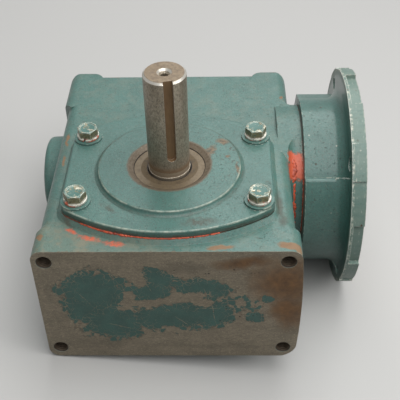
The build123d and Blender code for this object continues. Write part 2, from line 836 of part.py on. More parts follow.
def ball_cage(bore, outer, width, ball, count):
    """Ring between the races with a round pocket for each ball."""
    pitch = (bore + outer) / 2
    half_band = ball + cage_play + cage_rim
    low, high = width / 2 - half_band, width / 2 + half_band
    band = ring(pitch + ball_cage_thickness, pitch - ball_cage_thickness, low, high)
    pocket = Pos(pitch, 0, width / 2) * Rot(0, 90, 0) * Cylinder(ball + cage_play, outer - bore)
    return band - [Rot(0, 0, n * 360 / count) * pocket for n in range(count)]


def save_ball_bearing(name, x, bore, outer, width, ball, count):
    """Writes the four nodes of one ball bearing whose left face is at x."""
    place = Pos(0, 0, x)
    save(f"{name}_inner_ring", on_worm_axis(place * ball_race(bore, outer, width, ball, True)))
    save(f"{name}_outer_ring", on_worm_axis(place * ball_race(bore, outer, width, ball, False)))
    balls = ball_set(bore, outer, width, ball, count)
    save(f"{name}_balls", *[on_worm_axis(place * each) for each in balls])
    save(f"{name}_cage", on_worm_axis(place * ball_cage(bore, outer, width, ball, count)))


# Worm with its hollow quill


def worm_thread():
    """Right-hand thread whose crest crosses the line of centres at the wheel's middle."""
    slope = math.tan(math.radians(pressure_angle))
    buried = worm_root_radius - thread_root_sink
    pitch_half = axial_pitch / 4
    root_half = pitch_half + (worm_pitch_radius - buried) * slope
    tip_half = pitch_half - gear_module * slope
    start = -worm_turns * axial_pitch / 2
    section = make_face(Polyline(
        (buried, start - root_half), (worm_tip_radius, start - tip_half),
        (worm_tip_radius, start + tip_half), (buried, start + root_half), close=True))
    path = Pos(0, 0, start) * Helix(axial_pitch, worm_turns * axial_pitch, worm_pitch_radius)
    thread = sweep(Plane.XZ * section, path=path, is_frenet=True)
    return Rot(0, 0, -90 - 180 * worm_turns) * thread


def worm_core():
    """Turned body of the worm: journal, shoulder, neck, root, bearing seat and quill."""
    stub = end_bearing_x - ring_width - stub_reach
    journal = end_bearing_x + end_bearing_width
    seat, seat_end = quill_bearing_x, quill_bearing_x + quill_bearing_width
    root, neck, quill = worm_root_radius, worm_neck_radius, quill_radius
    run_out = thread_half + worm_run_out
    groove = quill_bearing_bore - ring_sink
    end_groove = end_bearing_bore - ring_sink
    return turned(
        (0, stub), (end_bearing_bore, stub), (end_bearing_bore, end_bearing_x - ring_width),
        (end_groove, end_bearing_x - ring_width), (end_groove, end_bearing_x),
        (end_bearing_bore, end_bearing_x), (end_bearing_bore, journal), (worm_shoulder_radius, journal),
        (worm_shoulder_radius, journal + worm_shoulder_width), (neck, journal + worm_shoulder_width),
        (neck, -run_out - neck + root), (root, -run_out), (root, run_out), (neck, run_out + neck - root),
        (neck, seat - quill_shoulder_width), (quill_shoulder_radius, seat - quill_shoulder_width),
        (quill_shoulder_radius, seat), (quill_bearing_bore, seat), (quill_bearing_bore, seat_end),
        (groove, seat_end), (groove, seat_end + ring_width), (quill_bearing_bore, seat_end + ring_width),
        (quill_bearing_bore, seat_end + ring_width + ring_sink), (quill, seat_end + ring_width + ring_sink),
        (quill, quill_end_x), (0, quill_end_x))


def worm_shaft():
    tip, end = worm_tip_radius + overrun, thread_half
    trim = turned((0, -end), (worm_root_radius, -end), (tip, -end + worm_thread_end_trim),
                  (tip, end - worm_thread_end_trim), (worm_root_radius, end), (0, end))
    worm = worm_core() + (worm_thread() & trim)
    bore_floor = quill_end_x - quill_bore_depth
    worm -= post(quill_bore_radius, bore_floor, quill_end_x + overrun)
    reach = quill_bore_radius + quill_key_depth
    slot = Box(quill_key_width, reach, quill_bore_depth + overrun,
               align=(Align.CENTER, Align.MIN, Align.MIN))
    worm -= Pos(0, 0, bore_floor) * slot
    return on_worm_axis(worm)


def snap_ring(bore, x):
    """Open retaining ring in a groove of the worm."""
    band = ring(bore + ring_rise, bore - ring_sink, x, x + ring_width)
    gap = Pos(0, bore, x + ring_width / 2) * Box(bore, 2 * bore, 2 * ring_width)
    return on_worm_axis(band - gap)


# Seals


def seal_case(outer, hole, low, high):
    """Pressed steel shell of a shaft seal, closed at the top."""
    floor_radius = (outer + hole) / 2
    under = high - seal_wall
    return turned((outer, low), (outer, high), (floor_radius, high), (floor_radius, under),
                  (outer - seal_wall, under), (outer - seal_wall, low))


def seal_lip(outer, hole, shaft, low, high):
    """Rubber of a shaft seal: a face ring and a lip that runs on the shaft."""
    floor_radius = (outer + hole) / 2
    touch = shaft + seal_lip_play
    root, contact, end, back, face_back = (high - share * (high - low) for share in (
        lip_root_share, lip_touch_share, lip_end_share, lip_back_share, seal_face_share))
    return turned((floor_radius, high), (hole, high), (hole, root), (touch, contact), (hole, end),
                  (hole + seal_wall, end), (hole + seal_wall, back), (floor_radius, face_back))


# Motor adapter, built along Z and laid on the worm axis


def barrel_outline():
    """Round barrel with a thicker lower front and a raised corner behind the top."""
    lobe = sector(lobe_radius, seen_angle(lobe_end), seen_angle(lobe_start))
    first, last = seen_angle(ridge_angle - ridge_half_angle), seen_angle(ridge_angle + ridge_half_angle)
    tip = polar(ridge_radius, seen_angle(ridge_angle))
    corners = (0, 0), polar(barrel_radius, first), tip, polar(barrel_radius, last)
    outline = Circle(barrel_radius) + lobe + make_face(Polyline(*corners, close=True))
    outline = fillet(outline.vertices().sort_by_distance(tip)[0], ridge_round)
    for angle in (lobe_end, lobe_start):
        step = polar(lobe_radius, seen_angle(angle))
        outline = fillet(outline.vertices().sort_by_distance(step)[0], lobe_round)
    return outline


def rim_sectors(radius, half_angle, first_angle):
    """Four equal wedges round the flange."""
    middles = [seen_angle(first_angle + 90 * n) for n in range(4)]
    return [sector(radius, middle - half_angle, middle + half_angle) for middle in middles]


def barrel_flare(radius, first, last):
    """Concave sweep from the barrel into the flange between two local angles."""
    low, high, wide = flange_back_x - flange_fillet, flange_back_x + overrun, radius + flange_fillet
    sag = flange_fillet * (1 - math.sqrt(0.5))
    bend = ThreePointArc((radius, low), (radius + sag, flange_back_x - sag), (wide, flange_back_x))
    hub = radius - barrel_wall / 2
    profile = make_face([Line((hub, low), (radius, low)), bend,
                         Polyline((wide, flange_back_x), (wide, high), (hub, high), (hub, low))])
    return Rot(0, 0, first) * revolve(Plane.XZ * profile, Axis.Z, revolution_arc=last - first)


def motor_adapter():
    barrel = extrude(Pos(0, 0, adapter_x) * barrel_outline(), flange_x - adapter_x)
    adapter = barrel + post(flange_radius, flange_back_x, flange_x) + barrel_flare(barrel_radius, 0, 360)
    adapter += barrel_flare(lobe_radius, seen_angle(lobe_end), seen_angle(lobe_start))
    for wedge in rim_sectors(flange_radius + lug_rise, lug_half_angle, motor_bolt_angle):
        adapter += extrude(Pos(0, 0, flange_back_x) * wedge, flange_thickness)
    for wedge in rim_sectors(flange_radius + 2 * lug_rise, notch_half_angle, 0):
        tool = extrude(Pos(0, 0, flange_x - notch_length) * wedge, notch_length + overrun)
        kept = post(flange_radius - notch_depth, flange_x - 2 * notch_length, flange_x + 2 * overrun)
        adapter -= tool - kept
    spigot = post(quill_bearing_outer - seat_play, joint_x - spigot_depth, adapter_x)
    adapter += spigot
    adapter -= post(barrel_inner, web_x, pilot_x)
    adapter -= post(pilot_radius, pilot_x, flange_x + overrun)
    adapter -= post(quill_bearing_outer - spigot_wall, joint_x - spigot_depth - overrun, adapter_x)
    adapter -= post(input_seal_radius, web_x - input_seal_width, web_x + overrun)
    adapter -= post(input_seal_radius - spigot_wall, adapter_x - overrun, web_x)
    for place in adapter_screw_places():
        adapter -= place * post(adapter_screw_radius + bolt_hole_play, adapter_x - overrun, web_x + overrun)
    for n in range(4):
        place = Rot(0, 0, motor_bolt_angle + 90 * n) * Pos(motor_bolt_distance, 0)
        adapter -= place * post(motor_hole_radius, flange_back_x - flange_thickness, flange_x + overrun)
    return on_worm_axis(adapter)


def adapter_gasket():
    sheet = ring(motor_boss_radius, quill_bearing_outer, joint_x, adapter_x)
    for place in adapter_screw_places():
        sheet -= place * post(adapter_screw_radius + bolt_hole_play, joint_x - overrun, adapter_x + overrun)
    return on_worm_axis(sheet)


def adapter_screw(place):
    """Socket head cap screw on the web inside the adapter."""
    top = web_x + adapter_screw_head_height
    head = post(adapter_screw_head_radius, web_x, top)
    head -= hexagon(adapter_screw_socket, web_x + adapter_screw_socket_rise, top)
    return on_worm_axis(place * (head + post(adapter_screw_radius, joint_x - adapter_screw_grip, web_x)))


def lower_cap():
    """Pressed cup plug that closes the lower bearing bore."""
    radius = taper_cup_radius - cap_rim
    bottom = housing_bottom + cap_recess
    cup = post(radius, bottom, bottom + cap_thickness)
    return cup - post(radius - cap_rim, bottom - overrun, bottom + cap_thickness - cap_rim)


os.makedirs("parts", exist_ok=True)
save("housing", housing())
save("output_cover", output_cover())
save("cover_gasket", cover_gasket())
save("cover_bolts", *[place * cover_bolt() for place in cover_bolt_places()])
save("cover_lock_washers",
     *[place * lock_washer(washer_split_turn * n) for n, place in enumerate(cover_bolt_places())])
save("oil_plugs", *[oil_plug(x, z) for x, z in plug_places()])
save("vent_plug", vent_plug())
save("lower_bore_cap", lower_cap())
save("upper_bearing_shim", ring(taper_cup_radius, output_seal_radius, upper_cup_z, -cup_seat_depth))
save("lower_bearing_shim", ring(taper_cup_radius, taper_cup_radius - cap_rim, lower_ledge_z, lower_cup_z))

save("output_shaft", output_shaft())
save("wheel_key", wheel_key())
save("shaft_spacer", shaft_spacer())
save("worm_wheel_hub", wheel_hub())
save("worm_wheel_rim", wheel_rim())
save("wheel_rim_screws", *[rim_screw(n) for n in range(rim_screw_count)])

for name, place in (("upper", Pos(0, 0, upper_cup_z)), ("lower", Pos(0, 0, lower_cup_z) * Rot(180, 0, 0))):
    cup, cone, rollers, cage = taper_bearing(place)
    save(f"{name}_bearing_cup", cup)
    save(f"{name}_bearing_cone", cone)
    save(f"{name}_bearing_rollers", *rollers)
    save(f"{name}_bearing_cage", cage)

save("worm_shaft", worm_shaft())
save_ball_bearing("quill_bearing", quill_bearing_x, quill_bearing_bore, quill_bearing_outer,
                  quill_bearing_width, quill_ball_radius, quill_ball_count)
save_ball_bearing("end_bearing", end_bearing_x, end_bearing_bore, end_bearing_outer,
                  end_bearing_width, end_ball_radius, end_ball_count)
save("quill_snap_ring", snap_ring(quill_bearing_bore, quill_bearing_x + quill_bearing_width))
save("end_snap_ring", snap_ring(end_bearing_bore, end_bearing_x - ring_width))

seal_top = -seal_recess
seal_bottom = seal_top - output_seal_width
save("output_seal_case", seal_case(output_seal_radius, output_seal_hole, seal_bottom, seal_top))
save("output_seal_lip",
     seal_lip(output_seal_radius, output_seal_hole, seal_journal_radius, seal_bottom, seal_top))
seal_low = web_x - input_seal_width
input_seal_hole = quill_radius + input_seal_gap
save("input_seal_case", on_worm_axis(seal_case(input_seal_radius, input_seal_hole, seal_low, web_x)))
save("input_seal_lip",
     on_worm_axis(seal_lip(input_seal_radius, input_seal_hole, quill_radius, seal_low, web_x)))

save("motor_adapter", motor_adapter())
save("adapter_gasket", adapter_gasket())
save("adapter_screws", *[adapter_screw(place) for place in adapter_screw_places()])
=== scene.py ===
import math
import random

import bpy
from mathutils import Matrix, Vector


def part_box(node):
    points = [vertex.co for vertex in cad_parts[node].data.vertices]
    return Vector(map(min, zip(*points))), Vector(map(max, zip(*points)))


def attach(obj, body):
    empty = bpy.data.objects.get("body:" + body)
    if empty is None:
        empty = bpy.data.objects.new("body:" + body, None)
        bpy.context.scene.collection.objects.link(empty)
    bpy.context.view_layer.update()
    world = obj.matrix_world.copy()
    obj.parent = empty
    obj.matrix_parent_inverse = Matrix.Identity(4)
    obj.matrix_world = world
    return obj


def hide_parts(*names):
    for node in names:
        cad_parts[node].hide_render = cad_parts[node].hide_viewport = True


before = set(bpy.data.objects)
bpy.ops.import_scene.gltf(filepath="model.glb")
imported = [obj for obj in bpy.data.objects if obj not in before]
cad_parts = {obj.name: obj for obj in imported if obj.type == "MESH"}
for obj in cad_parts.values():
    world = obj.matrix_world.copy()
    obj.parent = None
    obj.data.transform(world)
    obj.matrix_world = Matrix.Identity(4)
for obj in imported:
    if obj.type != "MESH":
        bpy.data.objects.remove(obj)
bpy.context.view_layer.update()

MM = 0.001  # Blender's metres in one millimetre

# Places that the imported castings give, in millimetres
housing_low, housing_high = (corner * 1000 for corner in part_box("housing"))
adapter_low, adapter_high = (corner * 1000 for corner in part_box("motor_adapter"))
front_y = housing_low.y
foot_y = housing_high.y
motor_face = adapter_high.x
worm_y = (adapter_low.y + adapter_high.y) / 2
worm_z = (adapter_low.z + adapter_high.z) / 2
spigot_end = adapter_low.x  # inside the housing, 5 mm short of the joint's face

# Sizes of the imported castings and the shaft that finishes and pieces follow, in millimetres
HOLE_X, HOLE_Z = 79.375, 42.85
BOSS_RADIUS, PLATE_TOP = 50.0, -3.4
PLATE_ARC_Y, PLATE_ARC_RADIUS, PLATE_EDGE_RADIUS = 50.0, 115.8, 115.2
SHAFT_TOP, KEYWAY_TURN = 74.6, 12.5

# How sharp an edge has to be before its wear starts to show, and before it shows in full
EDGE_STARTS, EDGE_FULL = 0.02, 0.1

# Colours, as the paint and the metal are under plain light
TEAL = (0.078, 0.180, 0.155)
TEAL_DARK = (0.056, 0.118, 0.101)
FRONT_TEAL = (0.046, 0.126, 0.104)
FRONT_TEAL_DARK = (0.029, 0.080, 0.064)
ENAMEL_PIT = (0.035, 0.045, 0.036)
TEAL_CHALK = (0.200, 0.310, 0.270)
GREY_GREEN = (0.190, 0.255, 0.215)
GRIME = (0.075, 0.062, 0.044)
DUST = (0.290, 0.260, 0.195)
DECK_DIRT = (0.215, 0.190, 0.125)
RUST = (0.200, 0.100, 0.045)
RUST_DARK = (0.075, 0.042, 0.024)
RUST_PALE = (0.330, 0.205, 0.115)
RUST_RUN = (0.215, 0.108, 0.040)
RUST_RUN_DARK = (0.098, 0.050, 0.022)
RUST_BROWN = (0.260, 0.165, 0.095)
CAST_IRON = (0.285, 0.242, 0.172)
CAST_IRON_DARK = (0.125, 0.102, 0.074)
IRON_GRIT = (0.44, 0.38, 0.275)
IRON_SCRATCH = (0.30, 0.28, 0.21)
IRON_PIT = (0.03, 0.025, 0.02)
HOLE_RUST_AND_SHADE = (0.070, 0.046, 0.028)
HOLE_SHADE = (0.024, 0.017, 0.012)
BORE_MOUTH = (0.205, 0.165, 0.115)
BORE_MOUTH_DARK = (0.120, 0.088, 0.056)
SEAL_GROOVE_SHADE = (0.030, 0.024, 0.018)
CHIPPED = (0.600, 0.600, 0.500)
CHIPPED_PALE = (0.86, 0.88, 0.80)
PALE_EDGE_WEAR_AND_HIGHLIGHT = (0.480, 0.520, 0.420)
BOSS_BACK_EDGE_SHADE = (0.150, 0.105, 0.062)
SEALANT = (0.690, 0.120, 0.050)
SEALANT_DARK = (0.240, 0.032, 0.016)
GASKET_DARK = (0.050, 0.040, 0.028)
ZINC = (0.300, 0.270, 0.170)
ZINC_WEAR_AND_HIGHLIGHT = (0.820, 0.790, 0.640)
ZINC_TARNISH = (0.150, 0.125, 0.065)
ZINC_EDGE_WEAR_AND_HIGHLIGHT = (0.88, 0.86, 0.72)
STEEL = (0.520, 0.500, 0.460)
STEEL_DARK = (0.180, 0.165, 0.138)
WASHER_STEEL = (0.76, 0.74, 0.65)
SHAFT_STEEL = (0.380, 0.325, 0.250)
SHAFT_FRECKLE = (0.120, 0.098, 0.070)
SHAFT_PATINA = (0.165, 0.130, 0.085)
SHAFT_PALE = (0.62, 0.60, 0.54)
SHAFT_END = (0.27, 0.20, 0.125)
SHAFT_END_DARK = (0.14, 0.095, 0.058)
SHAFT_CHAMFER_AND_HIGHLIGHT = (0.84, 0.80, 0.72)
SHAFT_EDGE = (0.74, 0.70, 0.62)
SHAFT_FOOT = (0.230, 0.140, 0.075)
KEYWAY_SCALE = (0.280, 0.175, 0.085)
KEYWAY_SCALE_DARK = (0.130, 0.075, 0.038)
SEAL_TRACK = (0.44, 0.37, 0.28)
BRONZE = (0.640, 0.400, 0.170)
RUBBER = (0.030, 0.027, 0.024)
RUBBER_DUST = (0.140, 0.104, 0.062)
FLOOR_GREY = (0.12, 0.118, 0.114)
FLOOR_IN_VIEW = (0.52, 0.515, 0.50)
SKY = (0.95, 0.98, 1.0, 1.0)


class Finish:
    """One finish, laid coat by coat. Lengths are in millimetres on the part."""

    def __init__(self, name, colour, rough, metal=0.0):
        self.material = bpy.data.materials.new(name)
        self.material.use_nodes = True
        self.nodes = self.material.node_tree.nodes
        self.nodes.clear()
        self.skin = self.nodes.new("ShaderNodeBsdfPrincipled")
        self.colour, self.rough, self.metal, self.height = colour, rough, metal, None
        where = self.nodes.new("ShaderNodeTexCoord").outputs["Object"]
        self.mm = self.add("ShaderNodeVectorMath", {0: where, "Scale": 1.0 / MM}, operation="SCALE")
        parts = self.nodes.new("ShaderNodeSeparateXYZ")
        self.join(self.mm, parts.inputs[0])
        self.x, self.y, self.z = parts.outputs

    def join(self, value, socket):
        if isinstance(value, bpy.types.NodeSocket):
            self.material.node_tree.links.new(value, socket)
        elif isinstance(value, (tuple, list)) and len(value) == 3 and socket.type == "RGBA":
            socket.default_value = (*value, 1.0)
        else:
            socket.default_value = value

    def add(self, kind, values, result=0, **settings):
        node = self.nodes.new(kind)
        for name, value in settings.items():
            setattr(node, name, value)
        for key, value in values.items():
            self.join(value, node.inputs[key])
        return node.outputs[result]

    def sum(self, operation, a, b=0.0, c=0.0):
        return self.add("ShaderNodeMath", {0: a, 1: b, 2: c}, operation=operation)

    def scaled(self, value, factor, plus):
        """The value times the factor, and then the rest added."""
        return self.sum("MULTIPLY_ADD", value, factor, plus)

    def off(self, value, middle):
        """How far a value is from the middle, on either side."""
        return self.sum("ABSOLUTE", self.sum("SUBTRACT", value, middle))

    def rest(self, share):
        """What the share leaves of 1."""
        return self.sum("SUBTRACT", 1.0, share)

    def between(self, value, low, high):
        """0 at low and beyond, 1 at high and beyond."""
        return self.add("ShaderNodeMapRange", {"Value": value, "From Min": low, "From Max": high})

    def both(self, first, *others):
        """Where all the masks are 1 together."""
        for other in others:
            first = self.sum("MULTIPLY", first, other)
        return first

    def either(self, a, b):
        return self.sum("MAXIMUM", a, b)

    def blend(self, share, a, b):
        if isinstance(a, (float, int)) or (hasattr(a, "type") and a.type == "VALUE"):
            return self.add("ShaderNodeMix", {0: share, 2: a, 3: b}, data_type="FLOAT")
        return self.add("ShaderNodeMix", {0: share, 6: a, 7: b}, 2, data_type="RGBA")

    def stretched(self, sizes, at=None, shift=0.0):
        """The place on the part, measured in the given sizes."""
        shares = tuple(1.0 / size for size in sizes)
        return self.add("ShaderNodeVectorMath", {0: at or self.mm, 1: shares, 2: (shift,) * 3},
                        operation="MULTIPLY_ADD")

    def noise(self, size, detail=3.0, rough=0.55, at=None, seed=0.0):
        """Cloudy pattern, about 0.5 on average, with clouds of the given size in millimetres."""
        spot, scale = at or self.mm, 1.0
        if isinstance(size, tuple):
            spot = self.stretched(size, at)
        else:
            scale = 1.0 / size
        return self.add(
            "ShaderNodeTexNoise",
            {"Vector": spot, "W": seed, "Scale": scale, "Detail": detail, "Roughness": rough},
            noise_dimensions="4D",
        )

    def patches(self, low, high, *pattern, **more):
        """Cloudy patches: 0 where the noise is at low or under, 1 where it is at high or over."""
        return self.between(self.noise(*pattern, **more), low, high)

    def specks(self, size, share, seed=0.0):
        """Small round spots: their spacing in millimetres, and the share of places that hold one."""
        cell = self.nodes.new("ShaderNodeTexVoronoi")
        self.join(self.stretched((size,) * 3, shift=seed), cell.inputs["Vector"])
        cell.inputs["Scale"].default_value = 1.0
        near = self.between(cell.outputs["Distance"], 0.34, 0.2)
        shade = self.add("ShaderNodeSeparateColor", {0: cell.outputs["Color"]})
        return self.both(near, self.between(shade, share, share - 0.03))

    def ragged(self, size, amount, detail=3.0):
        """The place on the part, pushed about by a cloudy pattern so that outlines tear."""
        cloud = self.nodes.new("ShaderNodeTexNoise")
        self.join(self.mm, cloud.inputs["Vector"])
        cloud.inputs["Scale"].default_value = 1.0 / size
        cloud.inputs["Detail"].default_value = detail
        split = self.nodes.new("ShaderNodeSeparateColor")
        self.join(cloud.outputs["Color"], split.inputs[0])
        push = self.add("ShaderNodeCombineXYZ", dict(enumerate(split.outputs)))
        push = self.add("ShaderNodeVectorMath", {0: push, 1: (amount,) * 3, 2: (-amount / 2,) * 3},
                        operation="MULTIPLY_ADD")
        return self.add("ShaderNodeVectorMath", {0: push, 1: self.mm})

    def nearness(self, places, across, at):
        """0 in the middle and 1 on the outline of the nearest oval on a plane that faces the axis across.

        Each oval has a centre, two half sizes and a turn."""
        first, second = {"x": (1, 2), "y": (0, 2), "z": (0, 1)}[across]
        nearest = None
        for centre, sizes, turn in places:
            cos, sin = math.cos(math.radians(turn)), math.sin(math.radians(turn))
            reach = None
            for size, (along, over) in zip(sizes, ((cos, sin), (-sin, cos))):
                way = [0.0, 0.0, 0.0]
                way[first], way[second] = along / size, over / size
                middle = (along * centre[0] + over * centre[1]) / size
                dot = self.add("ShaderNodeVectorMath", {0: at, 1: way}, "Value", operation="DOT_PRODUCT")
                far = self.sum("SUBTRACT", dot, middle)
                reach = self.scaled(far, far, reach if reach is not None else 0.0)
            nearest = reach if nearest is None else self.sum("MINIMUM", nearest, reach)
        return nearest

    def blots(self, places, across, at, edge=0.1):
        """1 inside the ovals, 0 outside."""
        return self.between(self.nearness(places, across, at), 1.0, (1.0 - edge) ** 2)

    def flakes(self, size, at):
        """A chance value for each of the angular flakes that a brittle coat breaks into."""
        cell = self.nodes.new("ShaderNodeTexVoronoi")
        self.join(at, cell.inputs["Vector"])
        cell.inputs["Scale"].default_value = 1.0 / size
        return self.add("ShaderNodeSeparateColor", {0: cell.outputs["Color"]})

    def cracks(self, size, at):
        """How far a place is from the nearest crack between two flakes, as a share of their size."""
        cell = self.nodes.new("ShaderNodeTexVoronoi")
        cell.feature = "DISTANCE_TO_EDGE"
        self.join(at, cell.inputs["Vector"])
        cell.inputs["Scale"].default_value = 1.0 / size
        return cell.outputs["Distance"]

    def lines(self, ends, across, at, width):
        """Straight scratches between pairs of points on a plane."""
        places = []
        for a0, b0, a1, b1 in ends:
            middle = ((a0 + a1) / 2, (b0 + b1) / 2)
            long = math.hypot(a1 - a0, b1 - b0) / 2
            places.append((middle, (long, width / 2), math.degrees(math.atan2(b1 - b0, a1 - a0))))
        return self.blots(places, across, at, edge=0.7)

    def rounded(self, radius):
        """The surface's direction with its edges rounded off by the radius in millimetres."""
        return self.add("ShaderNodeBevel", {"Radius": radius * MM}, samples=6)

    def edges(self, radius):
        """1 on the edges of the shape, 0 on its flat faces."""
        facing = self.nodes.new("ShaderNodeNewGeometry").outputs["Normal"]
        alike = self.add("ShaderNodeVectorMath", {0: self.rounded(radius), 1: facing}, "Value",
                         operation="DOT_PRODUCT")
        return self.between(self.rest(alike), EDGE_STARTS, EDGE_FULL)

    def from_axis(self, a, b, centre_a, centre_b):
        da = self.sum("SUBTRACT", a, centre_a)
        db = self.sum("SUBTRACT", b, centre_b)
        return self.sum("SQRT", self.scaled(da, da, self.both(db, db)))

    def lay(self, where, colour=None, rough=None, metal=None, rise=None):
        """One more coat, where its mask says. rise lifts or sinks it, in millimetres."""
        if colour is not None:
            self.colour = self.blend(where, self.colour, colour)
        if rough is not None:
            self.rough = self.blend(where, self.rough, rough)
        if metal is not None:
            self.metal = self.blend(where, self.metal, metal)
        if rise is not None:
            lift = self.both(where, rise)
            self.height = lift if self.height is None else self.sum("ADD", self.height, lift)

    def done(self, edge_round=0.35, **shader):
        output = self.nodes.new("ShaderNodeOutputMaterial")
        self.join(self.skin.outputs[0], output.inputs["Surface"])
        self.join(self.colour, self.skin.inputs["Base Color"])
        self.join(self.rough, self.skin.inputs["Roughness"])
        self.join(self.metal, self.skin.inputs["Metallic"])
        for name, value in shader.items():
            self.skin.inputs[name.replace("_", " ")].default_value = value
        direction = self.rounded(edge_round) if edge_round else None
        if self.height is not None:
            bump = self.nodes.new("ShaderNodeBump")
            bump.inputs["Distance"].default_value = MM
            self.join(self.height, bump.inputs["Height"])
            if direction is not None:
                self.join(direction, bump.inputs["Normal"])
            direction = bump.outputs[0]
        if direction is not None:
            self.join(direction, self.skin.inputs["Normal"])
        return self.material


# The enamel of the castings


def enamel(name, casting=0.05):
    """Teal machine enamel over sand-cast iron, a little chalky, with dirt in its grain; its pale specks are
    partly painted glints and its dark pits partly painted shade.
    """
    coat = Finish(name, TEAL, 0.33)
    clouds = coat.patches(0.40, 0.62, 26.0, 4.0)
    coat.lay(coat.both(clouds, 0.30), TEAL_DARK)
    chalk = coat.patches(0.52, 0.70, 7.0, 5.0, 0.65, seed=3.0)
    coat.lay(coat.both(chalk, 0.22), TEAL_CHALK, rough=0.42)
    grain = coat.patches(0.54, 0.64, 0.9, 3.0, 0.7, seed=7.0)
    coat.lay(coat.both(grain, 0.58), GRIME, rough=0.55)
    # Dark pits: dirt in the pores and painted shade.
    pits_and_shade = coat.patches(0.590, 0.620, 1.7, 5.0, 0.8, seed=9.0)
    coat.lay(coat.both(pits_and_shade, 0.72), ENAMEL_PIT, rough=0.6, rise=-0.08)
    # Pale specks: partly pale paint, partly painted glints of the grain.
    pale = coat.patches(0.55, 0.65, 1.3, 4.0, 0.75, seed=8.0)
    coat.lay(coat.both(pale, 0.45), GREY_GREEN, rough=0.36)
    coat.lay(coat.noise(2.4, 4.0, 0.6, seed=1.0), rise=casting * 4.0)
    coat.lay(coat.noise(0.8, 2.0, 0.5, seed=2.0), rise=casting * 2.2)
    return coat


def bare_iron(coat, where):
    """Machined cast iron gone brown-grey, with cutter lines and stains."""
    cloud = coat.patches(0.36, 0.64, (24.0, 24.0, 12.0), 5.0, 0.65, seed=11.0)
    tone = coat.blend(cloud, CAST_IRON, tuple(0.68 * v for v in CAST_IRON))
    fine = coat.patches(0.44, 0.68, (2.6, 2.6, 0.9), 5.0, 0.75, seed=12.0)
    tone = coat.blend(coat.both(fine, 0.80), tone, CAST_IRON_DARK)
    grit = coat.patches(0.54, 0.68, 0.9, 3.0, 0.7, seed=13.0)
    tone = coat.blend(coat.both(grit, 0.60), tone, IRON_GRIT)
    coat.lay(where, tone, rough=0.52, metal=0.15)
    streaks = coat.noise((30.0, 30.0, 0.5), 2.0, 0.5, seed=14.0)
    coat.lay(coat.both(where, streaks), rise=0.04)


def chips(coat, radius, share, seed, colour=CHIPPED, rise=-0.05, where=None):
    """Enamel knocked off along the edges."""
    edge = coat.edges(radius)
    if where is not None:
        edge = coat.both(edge, where)
    torn = coat.between(coat.noise(2.2, 4.0, 0.65, seed=seed), 0.62 - share, 0.67 - share)
    gone = coat.both(edge, torn)
    coat.lay(gone, colour, rough=0.5, metal=0.1, rise=rise)
    return gone


# Enamel left on the machined front face: middle in X and Z, half sizes, turn
FRONT_ENAMEL = [
    ((-49.7, -50.0), (24.0, 20.0), 0.0), ((-60.0, -67.0), (12.0, 12.0), 0.0),
    ((-40.0, -81.0), (24.5, 17.5), -8.0), ((1.7, -75.5), (35.0, 14.0), 4.0),
    ((-5.5, -37.5), (13.5, 8.2), -40.0), ((-10.5, -49.5), (14.5, 10.5), 10.0),
    ((24.0, -47.5), (19.5, 9.6), -6.0), ((28.6, -73.0), (16.5, 15.5), 0.0),
    ((67.1, -57.6), (4.4, 3.4), 20.0), ((58.8, -76.0), (6.5, 5.4), -20.0),
]
# Gaps in that enamel, in the same terms
FRONT_GAPS = [
    ((-26.9, -58.5), (4.6, 9.5), -6.0), ((9.0, -56.5), (18.0, 4.2), 12.0),
    ((-14.3, -61.5), (8.5, 3.2), 10.0), ((-19.3, -40.3), (5.3, 5.8), 0.0),
    ((22.0, -60.0), (9.0, 4.0), -15.0), ((6.0, -90.0), (10.0, 3.0), -20.0),
]
# Scratches through it: X and Z of both their ends
FRONT_SCRATCHES = [
    (-15.4, -38.0, -10.3, -51.7), (-7.2, -59.3, 1.8, -71.0), (2.5, -73.7, 15.4, -85.9),
    (-61.1, -76.1, -50.9, -76.1), (-47.4, -80.3, -21.5, -89.2), (17.8, -66.4, 36.8, -66.5),
    (-50.9, -93.7, -30.6, -96.0), (23.5, -44.9, 30.8, -67.8), (-61.0, -49.8, -52.3, -63.9),
    (28.8, -58.0, 31.9, -84.0),
]


